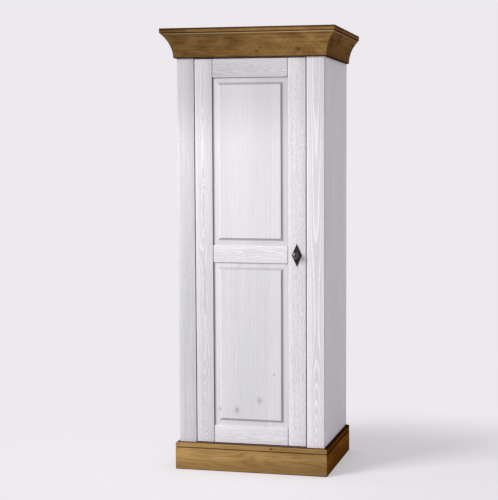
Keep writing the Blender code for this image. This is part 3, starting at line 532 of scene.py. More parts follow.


# Tints and fades paint light besides each board's own tone: right-hand stiles and side panel paler, plinth's
# right length darker
CUTS = {
    "face_stile_left": Cut(
        0.085, 0.030, 0.006, ring=0.0050, wave=0.006, drift=0.05, grey=1.0, lines=0.30,
        knots=((-0.2385, FRONT_Y, 0.5856, 0.0022),), tint=(0.93, 0.935, 0.93), fade=-0.02, dull=0.25),
    "face_stile_right": Cut(
        0.004, 0.050, 0.012, turn=-0.25, bow=0.13, ring=0.0052, wave=0.010, drift=0.08, grey=0.10, lines=0.85,
        tint=(1.055, 1.055, 1.055), fade=-0.08, dull=0.09),
    "door_stile_left": Cut(
        -0.004, 0.036, 0.014, turn=-0.38, bow=0.30, ring=0.0048, wave=0.036, grey=0.30, lines=0.85,
        knots=((-0.2008, FRONT_Y, 1.2286, 0.0050),), tint=(0.955, 0.955, 0.955), fade=-0.01, dull=0.23),
    "door_stile_right": Cut(
        0.046, 0.026, 0.010, ring=0.0032, wave=0.022, grey=0.55, lines=0.45, fleck=0.8,
        tint=(1.06, 1.07, 1.06), fade=-0.08, dull=0.08),
    "door_rail_top": Cut(
        0.012, 0.030, 0.055, ring=0.0052, wave=0.034, grey=0.9, lines=0.5, fleck=0.5,
        tint=(0.98, 0.98, 0.98), fade=0.20, dull=0.20),
    "door_rail_middle": Cut(
        -0.006, 0.028, -0.070, ring=0.0050, wave=0.036, grey=0.15, lines=0.80, tint=(1.06, 1.06, 1.06),
        fade=0.11),
    "door_rail_bottom": Cut(
        0.010, 0.034, -0.05, ring=0.0050, wave=0.030, grey=0.30, lines=0.55, fleck=0.5,
        tint=(1.07, 1.07, 1.07), fade=0.04),
    "door_panel_upper": Cut(
        0.28, 0.030, 0.004, ring=0.0190, wave=0.020, drift=0.03, grey=0.65, lines=0.10, brush=0.45,
        fleck=0.15, staves=(0.090, 0.02), tint=(1.10, 1.105, 1.10), dull=0.20),
    "door_panel_lower": Cut(
        -0.26, 0.034, 0.004, ring=0.0170, wave=0.022, drift=0.03, grey=1.0, lines=0.12, brush=0.6, fleck=0.25,
        staves=(0.160, -0.085), tint=(1.06, 1.06, 1.06),
        knots=((-0.1388, FRONT_Y, 0.2703, 0.0100), (-0.0631, FRONT_Y, 0.2686, 0.0200),
               (0.0375, FRONT_Y, 0.3131, 0.0190), (0.1020, FRONT_Y, 0.4295, 0.0085))),
    # Painted light: the side panel's high tint paints in the light on that side
    "side_panel_right": Cut(
        0.10, 0.040, 0.008, ring=0.0060, wave=0.010, drift=0.06, grey=0.50, lines=0.30,
        knots=((OUTER_X, -0.075, 0.560, 0.0060),), tint=(1.46, 1.46, 1.46)),
    "cornice_front": Cut(
        0.03, 0.075, 0.030, ring=0.0060, wave=0.030, drift=0.45, tint=(0.60, 0.572, 0.550), fade=0.34,
        knots=((0.0333, FRONT_Y, 1.8030, 0.0070), (0.0530, FRONT_Y, 1.8160, 0.0062),
               (0.2155, FRONT_Y, 1.8050, 0.0135))),
    "cornice_right": side_cut(0.060, 0.030, 0.69, 0.58, 0.60),
    "cornice_left": side_cut(0.060, -0.030, 0.65, 0.59, 0.56),
    "plinth_front": Cut(
        0.008, 0.062, 0.035, ring=0.0060, wave=0.034, drift=0.36, knots=((0.0919, FRONT_Y, 0.1083, 0.0085),),
        tint=(0.895, 0.91, 0.955), fade=-0.14, cloud=0.28),
    # Painted shade: the plinth's right length is tinted darker than its left, as the shade on that side
    "plinth_right": side_cut(0.050, 0.030, 0.65, 0.42, 0.18),
    "plinth_left": side_cut(0.050, -0.030, 0.66, 0.56, 0.48),
}


def cut_of(node):
    """The cut of a board: the one that the photograph shows, or else one of its own by chance."""
    if node in CUTS:
        return CUTS[node]
    chance = random.Random(node)
    return Cut(across=chance.uniform(-0.06, 0.06), depth=chance.uniform(0.02, 0.07),
               lean=chance.uniform(-0.03, 0.03), ring=chance.uniform(0.0040, 0.0065),
               wave=chance.uniform(0.010, 0.024), grey=chance.uniform(0.25, 0.6), lines=0.35)


# How a board's own axes are turned: across it, into it from its best face, and along its grain
QUARTER = math.radians(90)
UPRIGHT_FRONT = (0.0, 0.0, 0.0)
LEVEL_FRONT = (0.0, QUARTER, 0.0)
UPRIGHT_RIGHT = (0.0, 0.0, QUARTER)
UPRIGHT_LEFT = (0.0, 0.0, -QUARTER)
LEVEL_RIGHT = (0.0, QUARTER, QUARTER)
LEVEL_LEFT = (0.0, QUARTER, -QUARTER)
FLAT_ACROSS = (-QUARTER, QUARTER, 0.0)


def board_edge(look, low, high, width):
    feeds = {"Vector": look.coordinates, "Low": low, "High": high, "Width": width}
    return look.effect("Board edge", feeds)["Edge"]


def stain_line(look, level, width):
    return look.effect("Stain line", {"Vector": look.coordinates, "Level": level, "Width": width})["Line"]


def pine_nodes(look, node, turn, edge_width):
    """Adds the figure, the knots and the edges of one board. Returns its local place, the figure's outputs,
    the mark of its knots and its edge."""
    cut, (low, high) = cut_of(node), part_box(node)
    middle = (low + high) / 2

    def own_place(place):
        return look.add("ShaderNodeMapping", {"Vector": place, "Location": middle, "Rotation": turn},
                        vector_type="TEXTURE").outputs[0]

    local, bulge, knots = own_place(look.coordinates), 0.0, 0.0
    for *place, radius in cut.knots:
        knot = look.effect("Knot", {"Vector": local, "Place": own_place(place), "Size": radius})
        bulge = look.plus(bulge, knot["Bulge"])
        knots = look.math("MAXIMUM", knots, knot["Mark"])
    figure = look.effect("Pine figure", {
        "Vector": local, "Across": cut.across, "Depth": cut.depth, "Lean": cut.lean, "Turn": cut.turn,
        "Bow": cut.bow, "Ring Width": cut.ring, "Waviness": cut.wave, "Bulge": bulge, "Drift": cut.drift})
    # The board's thickness has no outline of its own, so its two faces are put far away.
    thin = min(range(3), key=lambda axis: high[axis] - low[axis])
    low[thin], high[thin] = low[thin] - 1, high[thin] + 1
    return local, figure, knots, board_edge(look, low, high, edge_width)


def own_tone(look, node):
    """The factors of a board's tone: its tint, its own tone and on some boards painted light, and along the
    board its fade, which is painted light.
    """
    low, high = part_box(node)
    along = max(range(3), key=lambda axis: high[axis] - low[axis])
    middle, half = (high[along] + low[along]) / 2, (high[along] - low[along]) / 2
    share = look.over(look.less(look.parts(look.coordinates)[along], middle), half)
    return (*cut_of(node).tint, 1.0), look.line(share, cut_of(node).fade, 1.0)


def dusty(width, strength, behind=-1.0, left=-FAR, right=FAR, top=FAR):
    """Painted shade for glazed_pine along a gap or joint, with its dark joint line: the corners of a box that
    is far away but for the sides given, the width and the strength of the shade along its outline, and the
    depth where it starts."""
    return (left, -FAR, -FAR), (right, FAR, top), width, strength, FRONT_Y + behind


def hollow_dust(look, low, high, width, shares, rim):
    """The painted shade in the hollow round a panel's field, most of it beside the field. low and high are
    the field's corners, the second as deep as the tongue, shares are its strength on the left, right, foot
    and head, set by how the light falls on each side and meeting in mitres, and rim is how much of it stays
    beyond the hollow."""
    mitre_blur, onset, fade_depth = 0.0004, 0.0008, 0.0005
    x, y, z = look.parts(look.coordinates)
    middle, half = (low + high) / 2, (high - low) / 2
    past = [look.less(look.math("ABSOLUTE", look.less(place, middle[axis])), half[axis])
            for axis, place in ((0, x), (2, z))]
    beside = look.span(look.less(*past), -mitre_blur, mitre_blur)
    left, right, foot, head = shares
    upright = look.span(x, low.x, high.x, left, right)
    level = look.span(z, low.z, high.z, foot, head)
    share = look.line(look.less(upright, level), beside, level)
    outward = look.math("MAXIMUM", *past)
    inside = look.times(look.span(outward, 0.0, onset), look.span(outward, 0.7 * width, width, 1.0, rim))
    front = look.span(y, high.y + fade_depth, high.y + 2 * fade_depth, 1.0, 0.0)
    return look.times(inside, front, share)


def glazed_pine(node, turn, joint=None, hollow=None):
    """Brushed pine under a thin white glaze: white lines in the grain, greyish and lilac stretches, edges
    painted pale as a highlight. joint is the painted shade along a gap or joint, and hollow the painted shade
    in a panel's hollow."""
    look, cut, paint = Look(node + "_glaze"), cut_of(node), colours()
    local, figure, knots, edge = pine_nodes(look, node, turn, edge_width=0.0022)
    ring, fibre, cloud = figure["Ring"], figure["Fibre"], figure["Cloud"]
    if cut.staves:
        width, seam = cut.staves
        staves = look.effect("Staves", {"Vector": local, "Width": width, "Joint": seam})["Tone"]
        cloud = look.line(look.less(staves, 0.5), 0.24, cloud)
    grey = look.math("MULTIPLY", look.span(cloud, 0.38, 0.62), cut.grey, clamp=True)
    colour = look.mix(grey, paint.glaze_ground, paint.glaze_grey)
    colour = look.mix(look.times(ring, cut.lines), colour, paint.glaze_line)
    colour = look.scaled(
        colour, look.span(fibre, 0.30, 0.72, 1 - 0.07 * cut.brush, 1 + 0.05 * cut.brush),
        look.span(figure["Streak"], 0.32, 0.68, 1 - 0.045 * cut.brush, 1 + 0.045 * cut.brush),
        look.span(figure["Fleck"], 0.35, 0.65, 1 - 0.09 * cut.fleck, 1 + 0.09 * cut.fleck),
        *own_tone(look, node))
    # Painted shade: the board is darkened right under the cornice, where the cornice shades it
    if cut.dull:
        shade = stain_line(look, CORNICE_FOOT, 0.40)
        colour = look.scaled(colour, look.line(shade, -cut.dull, 1.0))
    colour = look.mix(look.times(knots, 0.62), colour, paint.glaze_knot)
    # Painted highlight: the edges are painted paler, where the rounded arrises catch the light
    colour = look.mix(look.times(edge, 0.6), colour, paint.glaze_line)
    # Painted shade along gaps and joints, with the dark joint lines
    if joint:
        low, high, width, strength, start = joint
        behind = look.span(look.parts(look.coordinates)[1], start, start + 0.001)
        painted_shade = look.times(board_edge(look, low, high, width), strength, behind)
        colour = look.mix(painted_shade, colour, paint.glaze_joint)
    # Painted shade in the panel's hollow
    if hollow:
        colour = look.mix(hollow_dust(look, *hollow), colour, paint.glaze_joint)
    height = look.line(ring, 0.5, look.times(fibre, 0.6))
    return look.finish(colour, look.span(fibre, 0.3, 0.7, 0.50, 0.62), bump=(0.35, 0.0006, height))


def oiled_pine(node, turn, lines=(), tops=False, light=None, dark=None):
    """Clear pine, honey oiled or bare: dark lines and clouds in the grain, dark knots and edges. lines are
    (level, width, colour, strength) of level lines painted darker or lighter, mostly painted shade in grooves
    and under overhangs and a painted highlight on a bead, and they reach level tops only where tops is true."""
    look, paint = Look(node + "_oil"), colours()
    light, dark = light or paint.honey_light, dark or paint.honey_dark
    local, figure, knots, edge = pine_nodes(look, node, turn, edge_width=0.0030)
    ring, fibre = figure["Ring"], figure["Fibre"]
    stain = look.plus(look.span(figure["Cloud"], 0.34, 0.68, 0.0, cut_of(node).cloud), look.times(ring, 0.30),
                      look.span(fibre, 0.35, 0.75, -0.08, 0.12))
    stain = look.math("ADD", stain, look.span(figure["Streak"], 0.35, 0.65, -0.10, 0.14), clamp=True)
    colour = look.mix(stain, light, dark)
    colour = look.mix(look.times(edge, 0.65), colour, dark)
    colour = look.mix(knots, colour, paint.honey_knot)
    if lines:
        facing = look.parts(look.add("ShaderNodeNewGeometry").outputs["Normal"])[2]
        upright = look.span(facing, 0.6, 0.9, 1.0, 1.0 if tops else 0.0)
    # Painted shade and highlight lines, and bands darker towards the foot or the top
    for level, width, line_colour, strength in lines:
        line = look.times(stain_line(look, level, width), upright, strength)
        colour = look.mix(line, colour, line_colour)
    height = look.line(ring, -0.4, look.times(fibre, 0.4))
    return look.finish(look.scaled(colour, *own_tone(look, node)), look.span(fibre, 0.3, 0.7, 0.42, 0.54),
                       bump=(0.3, 0.0005, height), gloss=0.0)


def bare_pine(node, turn):
    return oiled_pine(node, turn, light=colours().bare_light, dark=colours().bare_dark)


# Iron, steel and plastic


def black_iron(name, worn, gloss, roughness):
    """Antique black iron with shallow hammer marks, greyish where hands have worn the ridges."""
    look = Look(name)
    marks = look.effect("Hammer marks", {"Vector": look.coordinates, "Scale": 190.0})
    rubbed = look.times(marks["Worn"], worn)
    return look.finish(look.mix(rubbed, colours().iron, colours().iron_worn),
                       look.span(rubbed, 0.0, 0.6, roughness, 0.6 * roughness),
                       bump=(0.4, 0.0012, marks["Height"]), metallic=0.3, gloss=gloss)


def bright_steel():
    """Nickel-plated steel with faint brush marks."""
    look = Look("bright_steel")
    brushed = look.noise(look.vector("MULTIPLY", look.coordinates, (1.0, 1.0, 0.08)), 1800.0)
    return look.finish(colours().steel, look.span(brushed, 0.3, 0.7, 0.26, 0.40), metallic=1.0)


def white_plastic():
    """Moulded white plastic with a faint grain."""
    look = Look("white_plastic")
    return look.finish(colours().plastic, 0.42, bump=(0.08, 0.0003, look.noise(look.coordinates, 2500.0)))


def shared(builder):
    """The material that is named as its builder, built the first time that it is asked for."""
    return bpy.data.materials.get(builder.__name__) or builder()


# Boards of the carcass


def eased_board(node, low, high, radius):
    """A board of the cupboard with rounded edges, before its grooves are cut."""
    piece = new_box(node + "_board", low, high)
    round_edges(piece, radius, sizes().round_steps)
    return piece


class CUPBOARD_OT_face_frame(bpy.types.Operator):
    """Model the two face stiles with rounded edges"""

    bl_idname = "cupboard.face_frame"
    bl_label = "Face frame"

    def execute(self, context):
        for node in ("face_stile_left", "face_stile_right"):
            low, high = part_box(node)
            piece = eased_board(node, low, high, sizes().edge_round)
            smooth(piece)
            inner_side = {"right": high.x} if node.endswith("left") else {"left": low.x}
            # Painted shade in the door gap, on the stile's inner edge
            joint = dusty(0.0015, 0.9, behind=0.0008, **inner_side)
            finish_piece(piece, glazed_pine(node, UPRIGHT_FRONT, joint), node)
        return {"FINISHED"}


class CUPBOARD_OT_side_panels(bpy.types.Operator):
    """Model the side panels with eased edges, their rebate for the back and their two housings"""

    bl_idname = "cupboard.side_panels"
    bl_label = "Side panels"

    def execute(self, context):
        back_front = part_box("back_board_1")[0].y
        rebate_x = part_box("back_board_5")[1].x
        for side, sign, turn in (("left", -1, UPRIGHT_LEFT), ("right", 1, UPRIGHT_RIGHT)):
            node = "side_panel_" + side
            low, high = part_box(node)
            piece = eased_board(node, low, high, sizes().joint_ease)
            cuts = {"rebate": (rebate_x, back_front - SEAM, high.y + OVERRUN, low.z - OVERRUN,
                               high.z + OVERRUN)}
            for deck, above in (("bottom_board", SEAM), ("top_board", SEAM + OVERRUN)):
                deck_low, deck_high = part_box(deck)
                cuts[deck] = (deck_high.x, low.y - OVERRUN, back_front, deck_low.z - SEAM,
                              deck_high.z + above)
            inner_x = low.x if sign > 0 else high.x
            for name, (reach, near, far, foot, head) in cuts.items():
                start, end = sorted((inner_x - sign * OVERRUN, sign * (reach + SEAM)))
                carve(piece, new_box(f"{node}_{name}", (start, near, foot), (end, far, head)))
            tidy_mesh(piece)
            smooth(piece)
            finish_piece(piece, glazed_pine(node, turn), node)
        return {"FINISHED"}


# Mouldings

FILLET_HEIGHT = 0.020  # of the cornice's plain band at its top
GROOVE_DROP = 0.023  # from the plinth's top to the middle of its groove

# Lines of painted shade in the quirk, the groove and along the feet, a painted highlight on the bead, dark
# lines along the top edges and broad bands darker towards the foot and the top: the corner of the front
# length's box that they are measured from, how far up from it, and their width, colour and strength
FOOT, TOP = 0, 1
SHADE_AND_HIGHLIGHT_LINES = {
    "cornice": [
        (FOOT, 0.022, 0.050, "honey_dark", 0.35), (TOP, -0.010, 0.014, "honey_dark", 0.20),
        (TOP, 0.0, 0.0095, "honey_knot", 0.9), (FOOT, 0.0, 0.0062, "honey_knot", 0.85),
        (TOP, -FILLET_HEIGHT, 0.0030, "honey_knot", 0.8),
        (TOP, -FILLET_HEIGHT - 0.0040, 0.0040, "honey_rubbed", 0.8)],
    "plinth": [
        (FOOT, 0.008, 0.062, "honey_dark", 0.42), (TOP, -0.008, 0.014, "honey_dark", 0.20),
        (TOP, 0.0, 0.0035, "honey_knot", 0.8), (FOOT, 0.0, 0.0045, "honey_knot", 0.8),
        (TOP, -GROOVE_DROP, 0.0036, "honey_knot", 0.8)],
}
# Painted shade in the groove and a dark line along the top of the plinth's side lengths
PLINTH_SIDE_SHADE_LINES = [(TOP, 0.0, 0.0150, "honey_knot", 0.8), (TOP, -GROOVE_DROP, 0.0100, "honey_knot", 0.75)]


def arc(middle, radius, start, end, steps):
    """Points of a circular arc between two angles in degrees, both ends included."""
    angles = [math.radians(start + (end - start) * step / steps) for step in range(steps + 1)]
    return [(middle[0] + radius * math.cos(angle), middle[1] + radius * math.sin(angle)) for angle in angles]


def hollow_curve(start, end, sag, steps):
    """Points of a shallow arc from start to end that sags to the left of its chord."""
    start, end = Vector(start), Vector(end)
    half = (end - start) / 2
    left = Vector((-half.y, half.x)).normalized()
    radius = (half.length_squared + sag * sag) / (2 * sag)
    middle = start + half + left * (sag - radius)
    spread = math.degrees(math.asin(half.length / radius))
    bearing = math.degrees(math.atan2(left.y, left.x))
    return arc(middle, radius, bearing + spread, bearing - spread, steps)


def cornice_section(foot, top, reach):
    """Section of the cornice from its rounded foot up the cove to the bead, the quirk and the fillet."""
    steps = sizes().round_steps * 2
    bead, bead_radius = reach - 0.008, 0.0035
    fillet = top - FILLET_HEIGHT
    return (arc((0.0055, foot + 0.006), 0.006, -90, 0, steps)
            + hollow_curve((0.0115, foot + 0.011), (bead, fillet - 2 * bead_radius), sag=0.008,
                           steps=sizes().cove_steps)
            + arc((bead, fillet - bead_radius), bead_radius, -60, 60, steps)
            + [(bead + bead_radius / 2, fillet), (reach - 0.0008, fillet), (reach, fillet + 0.0008),
               (reach, top - 0.0015), (reach - 0.0004, top - 0.0004), (reach - 0.0015, top)])


def plinth_section(foot, top, reach):
    """Section of the plinth from the floor over the routed groove to the rounded nose and the sloping top."""
    half_groove = [(0.0, 0.0028), (0.0008, 0.0021), (0.0028, 0.0004)]
    groove = ([(reach - into, top - GROOVE_DROP - off) for into, off in half_groove]
              + [(reach - into, top - GROOVE_DROP + off) for into, off in reversed(half_groove)])
    nose = arc((reach - 0.004, top - 0.006), 0.004, 0, 90, sizes().round_steps * 2)
    return [(reach - 0.0008, foot), (reach, foot + 0.0008), *groove, *nose, (SEAM, top)]


def grow_moulding(name, section, side):
    """Starts a thin foot against the body and lifts its top step by step, pushing the outer edge along the
    section. side is 0 for the front length, -1 or 1 for a side length, and the front ends are mitred."""
    (out, level), steps = section[0], section[1:]
    foot, least_rise, mitre_gap = level, 4 * TINY, SEAM * math.sqrt(2)
    if side == 0:
        low, high = Vector((-OUTER_X, FRONT_Y - out, foot)), Vector((OUTER_X, FRONT_Y - SEAM, foot))
        centre, push, wall = Vector((0, 0, 0)), Vector((0, -1, 0)), high.y
        run, before = OUTER_X - mitre_gap, mitre_gap
    else:
        inner, outer = sorted((side * (OUTER_X + SEAM), side * (OUTER_X + out)))
        low, high = Vector((inner, FRONT_Y, foot)), Vector((outer, BACK_Y, foot))
        centre, push, wall = Vector((0, BACK_Y, 0)), Vector((side, 0, 0)), low.x if side > 0 else high.x
        run, before = BACK_Y - FRONT_Y, 0.0
    select_only()
    bpy.ops.mesh.primitive_plane_add(size=1, location=(low + high) / 2)
    bpy.context.active_object.scale = high - low + Vector((0, 0, 1))
    piece = settle(name)

    def is_top(middle, normal):
        return abs(middle.z - level) < TINY and abs(normal.z) > 0.9 and (level == foot or normal.z > 0)

    def is_outer_top(corner):
        return abs(corner.z - level) < TINY and abs(corner[0 if side else 1] - wall) > SEAM

    def lengthen(earlier, later):
        """Moves the mitred ends on, as they lie further along where the section reaches further out."""
        share = (run + later) / (run + earlier)
        bpy.ops.transform.resize(value=(1, share, 1) if side else (share, 1, 1), center_override=centre)

    with chosen(piece, "VERT", is_outer_top):
        lengthen(before, out)
    for next_out, next_level in steps:
        rise = max(next_level - level, least_rise)
        with chosen(piece, "FACE", is_top):
            bpy.ops.mesh.extrude_region_move(TRANSFORM_OT_translate={"value": (0, 0, rise)})
        level += rise
        with chosen(piece, "VERT", is_outer_top):
            bpy.ops.transform.translate(value=push * (next_out - out))
            lengthen(out, next_out)
        out = next_out
    tidy_mesh(piece)
    smooth(piece, degrees=34)
    return piece


class CUPBOARD_OT_mouldings(bpy.types.Operator):
    """Model the cornice and the plinth, mitred at the front corners"""

    bl_idname = "cupboard.mouldings"
    bl_label = "Cornice and plinth"

    def execute(self, context):
        for kind, section_of in (("cornice", cornice_section), ("plinth", plinth_section)):
            corners = low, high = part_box(kind + "_front")
            section, plinth = section_of(low.z, high.z, FRONT_Y - low.y), kind == "plinth"
            for side, way, turn in (("front", 0, LEVEL_FRONT), ("left", -1, LEVEL_LEFT),
                                    ("right", 1, LEVEL_RIGHT)):
                node = f"{kind}_{side}"
                piece = grow_moulding(node + "_moulding", section, way)
                lines = [(corners[end].z + up, width, getattr(colours(), colour), strength)
                         for end, up, width, colour, strength
                         in SHADE_AND_HIGHLIGHT_LINES[kind] + (PLINTH_SIDE_SHADE_LINES if plinth and way else [])]
                finish_piece(piece, oiled_pine(node, turn, lines, tops=plinth), node)
        return {"FINISHED"}


# Door

HINGES = ("lower", "middle", "upper")


def tongue_front():
    """The front of the panels' tongue: the second depth of their corners, counted from the back."""
    return sorted({round(corner.co.y, 5) for corner in frame["nodes"]["door_panel_upper"].data.vertices})[-2]


class CUPBOARD_OT_door_frame(bpy.types.Operator):
    """Model the door's stiles and rails with eased joints, panel grooves and bores for the hinge cups"""

    bl_idname = "cupboard.door_frame"
    bl_label = "Door frame"

    def execute(self, context):
        groove_depth = 0.010
        groove_front, groove_back = tongue_front() - SEAM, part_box("door_panel_upper")[1].y + SEAM
        # Painted shade along the rails' ends and the stiles' inner edges beside the panels, with the dark
        # joint lines
        beside_rail = dusty(0.0044, 1.0, left=-SIGHT_X, right=SIGHT_X)
        for node, grooved_sides, joint in (
                ("door_stile_left", (1,), dusty(0.0026, 0.9, right=-SIGHT_X)),
                ("door_stile_right", (-1,), dusty(0.0018, 0.7, left=SIGHT_X)),
                ("door_rail_top", (-1,), beside_rail),
                ("door_rail_middle", (-1, 1), beside_rail),
                ("door_rail_bottom", (1,), beside_rail)):
            low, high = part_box(node)
            upright = "stile" in node
            across, along = (0, 2) if upright else (2, 0)
            if not upright:
                low.x, high.x = SEAM - SIGHT_X, SIGHT_X - SEAM
            piece = eased_board(node, low, high, sizes().joint_ease)
            for side in grooved_sides:
                edge = (high if side > 0 else low)[across]
                start, end = low.copy(), high.copy()
                start[across], end[across] = edge - groove_depth, edge + groove_depth
                start[along], end[along] = start[along] - OVERRUN, end[along] + OVERRUN
                start.y, end.y = groove_front, groove_back
                carve(piece, new_box(node + "_groove", start, end))
            if node == "door_stile_left":
                for level in HINGES:
                    self.bore(piece, "hinge_cup_" + level, high.y)
            tidy_mesh(piece)
            smooth(piece)
            finish_piece(piece, glazed_pine(node, UPRIGHT_FRONT if upright else LEVEL_FRONT, joint), node)
        return {"FINISHED"}

    @staticmethod
    def bore(piece, cup, door_back, radius=0.0178):
        """Bores the hole that a hinge cup sits in."""
        low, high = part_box(cup)
        select_only()
        bpy.ops.mesh.primitive_cylinder_add(
            vertices=48, radius=radius, depth=2 * (door_back - low.y + SEAM),
            location=((low.x + high.x) / 2, door_back, (low.z + high.z) / 2), rotation=(QUARTER, 0, 0))
        carve(piece, settle(cup + "_bore"))


class CUPBOARD_OT_door_panels(bpy.types.Operator):
    """Model the two raised and fielded panels: tongue, sloping border, hollow and field"""

    bl_idname = "cupboard.door_panels"
    bl_label = "Door panels"

    def execute(self, context):
        border, hollow, step = sizes().panel_border, sizes().panel_hollow, sizes().panel_step
        # The painted shade at the panel's head and what is left of it beyond the hollow differ between the
        # two
        for node, rail, head, rim in (("door_panel_upper", "door_rail_top", 0.60, 0.20),
                                      ("door_panel_lower", "door_rail_middle", 0.34, 0.05)):
            low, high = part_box(node)
            tongue, tongue_y = high.x - SIGHT_X, tongue_front()
            piece = new_box(node + "_fielded", (low.x, tongue_y, low.z), high)
            with chosen(piece, "FACE", faces_front):
                bpy.ops.mesh.inset(thickness=tongue, depth=0)
                bpy.ops.mesh.inset(thickness=border, depth=tongue_y - (low.y + step))
                curve = hollow_curve((0, 0), (hollow, -step), sag=0.0011, steps=sizes().round_steps * 3)
                for (inset, depth), (next_inset, next_depth) in zip(curve, curve[1:]):
                    bpy.ops.mesh.inset(thickness=next_inset - inset, depth=depth - next_depth)
                bpy.ops.mesh.inset(thickness=0.0008, depth=0)
            tidy_mesh(piece)
            smooth(piece, degrees=20)
            # Painted shadow that the left stile and the rail above cast on the panel's border
            joint = dusty(0.0024, 0.6, behind=0.006, left=-SIGHT_X, top=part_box(rail)[0].z)
            inset = tongue + border + hollow
            # Painted shade in the hollow, set side by side by how the light falls
            painted_shade = (Vector((low.x + inset, low.y, low.z + inset)),
                    Vector((high.x - inset, tongue_y, high.z - inset)), hollow, (0.06, 0.72, 0.62, head), rim)
            finish_piece(piece, glazed_pine(node, UPRIGHT_FRONT, joint, painted_shade), node)
        return {"FINISHED"}


class CUPBOARD_OT_knob(bpy.types.Operator):
    """Model the diamond backplate and the hammered knob"""

    bl_idname = "cupboard.knob"
    bl_label = "Knob"

    def execute(self, context):
        self.plate()
        self.knob()
        return {"FINISHED"}

    @staticmethod
    def plate():
        """A four-sided disc stretched to a diamond, its tips rounded and its face eased towards the rim."""
        node = "knob_backplate"
        low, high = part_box(node)
        middle, size = (low + high) / 2, high - low
        select_only()
        bpy.ops.mesh.primitive_cylinder_add(vertices=4, radius=0.5, depth=size.y, location=middle,
                                            rotation=(QUARTER, 0, 0))
        bpy.context.active_object.scale = (size.x, size.z, 1)
        piece = settle(node + "_hammered")
        tip_radius, rim_radius = 0.0009, 0.0008
        round_edges(piece, tip_radius, 3, lambda place, way: abs(way.y) > 0.9 * way.length)
        round_edges(piece, rim_radius, 2,
                    lambda place, way: place.y < middle.y and abs(way.y) < 0.1 * way.length)
        with chosen(piece, "FACE", faces_front):
            bpy.ops.mesh.inset(thickness=0.0016, depth=0)
            bpy.ops.mesh.inset(thickness=0.0006, depth=-0.0004)
        smooth(piece)
        finish_piece(piece, black_iron("plate_iron", worn=0.05, gloss=0.15, roughness=0.48), node)

    @staticmethod
    def knob():
        """A round foot drawn out and widened ring by ring into a waist and a flattened ball, then dented."""
        node = "knob"
        low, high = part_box(node)
        middle, radius, length = (low + high) / 2, (high.x - low.x) / 2, high.y - low.y
        half_ball, waist, shrink = radius * 0.72, 0.008, 0.985  # shrink keeps the dented ball in its box
        turns = [math.radians(degrees) for degrees in range(-60, 86, 8)]
        ball = [(radius * math.cos(turn), length - half_ball + half_ball * math.sin(turn)) for turn in turns]
        profile = [(0.0085, 0.0), (0.0088, 0.0005), (0.0085, 0.0012), (0.0068, 0.0024), (0.0056, 0.0044),
                   (0.0053, 0.0066)] + ball
        select_only()
        bpy.ops.mesh.primitive_circle_add(vertices=40, radius=profile[0][0], fill_type="NGON",
                                          location=(middle.x, high.y, middle.z), rotation=(QUARTER, 0, 0))
        piece = settle("knob_hammered")
        with chosen(piece, "FACE", all_of_it):
            for (here, start), (there, end) in zip(profile, profile[1:]):
                bpy.ops.mesh.extrude_region_move(TRANSFORM_OT_translate={"value": (0, start - end, 0)})
                bpy.ops.transform.resize(value=(there / here, 1, there / here),
                                         center_override=(middle.x, high.y - end, middle.z))
        tidy_mesh(piece)
        with chosen(piece, "VERT", lambda place: place.y < high.y - waist):
            bpy.ops.transform.vertex_random(offset=sizes().dent_depth, uniform=0.0, normal=1.0, seed=4)
            bpy.ops.transform.resize(value=(shrink, shrink, shrink), center_override=middle)
        with chosen(piece, "VERT",
                    lambda place: place.y < middle.y and (place - middle).xz.length < 0.4 * radius):
            bpy.ops.mesh.vertices_smooth(factor=0.7, repeat=8, xaxis=False, zaxis=False)
        smooth(piece, degrees=60)
        finish_piece(piece, black_iron("knob_iron", worn=0.60, gloss=0.90, roughness=0.24), node)


# Fittings, and the boards that stay as the frame has them


class CUPBOARD_OT_screws(bpy.types.Operator):
    """Model one cross-head screw and copy it to the hinges and the cleats"""

    bl_idname = "cupboard.screws"
    bl_label = "Screws"

    def execute(self, context):
        steel = shared(bright_steel)
        pattern = self.pattern()
        for number, (node, place, out) in enumerate(self.places()):
            head = self.copy(pattern, f"{node}_screw_{number}", Vector(place), Vector(out))
            finish_piece(head, steel, node, replaces=False)
        bpy.data.objects.remove(pattern)
        return {"FINISHED"}

    @staticmethod
    def places():
        """Each screw's node, the middle of its underside and the way that its head faces."""
        cup_pitch, plate_pitch, wing = 0.023, 0.019, 0.0025  # wing is the thickness of the plate's wings
        for level in HINGES:
            cup, plate = "hinge_cup_" + level, "hinge_plate_" + level
            cup_high, plate_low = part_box(cup)[1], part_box(plate)[0]
            cup_middle, plate_middle = sum(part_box(cup), Vector()) / 2, sum(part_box(plate), Vector()) / 2
            for sign in (-1, 1):
                yield cup, (cup_middle.x, cup_high.y, cup_middle.z + sign * cup_pitch), (0, 1, 0)
                yield (plate, (plate_low.x + wing, plate_middle.y, cup_middle.z + sign * plate_pitch),
                       (1, 0, 0))
        for node in SLOT_OF:
            if node.startswith("shelf_cleat"):
                low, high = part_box(node)
                face, out = (high.x, 1) if node.endswith("left") else (low.x, -1)
                for share in (0.15, 0.85):
                    yield node, (face, low.y + share * (high.y - low.y), (low.z + high.z) / 2), (out, 0, 0)

    @staticmethod
    def pattern():
        """A low domed head with a cross cut into it, facing up, its underside at the origin."""
        radius, height, dome, long, short = 0.0034, 0.0011, 0.0006, 0.0019, 0.0004
        select_only()
        bpy.ops.mesh.primitive_cylinder_add(vertices=20, radius=radius, depth=height,
                                            location=(0, 0, height / 2))
        piece = settle("screw_pattern")
        round_edges(piece, dome, 2, lambda middle, way: middle.z > 0.9 * height and abs(way.z) < TINY)
        for x, y in ((long, short), (short, long)):
            carve(piece, new_box("slot", (-x, -y, height / 2), (x, y, 2 * height)))
        smooth(piece)
        return piece

    @staticmethod
    def copy(pattern, name, place, out):
        """Copies the screw with a mesh of its own, turned to face out and set in its place."""
        select_only(pattern)
        bpy.ops.object.duplicate(linked=False)
        head = bpy.context.active_object
        head.rotation_euler = Vector((0, 0, 1)).rotation_difference(out).to_euler()
        head.location = place
        return settle(name)


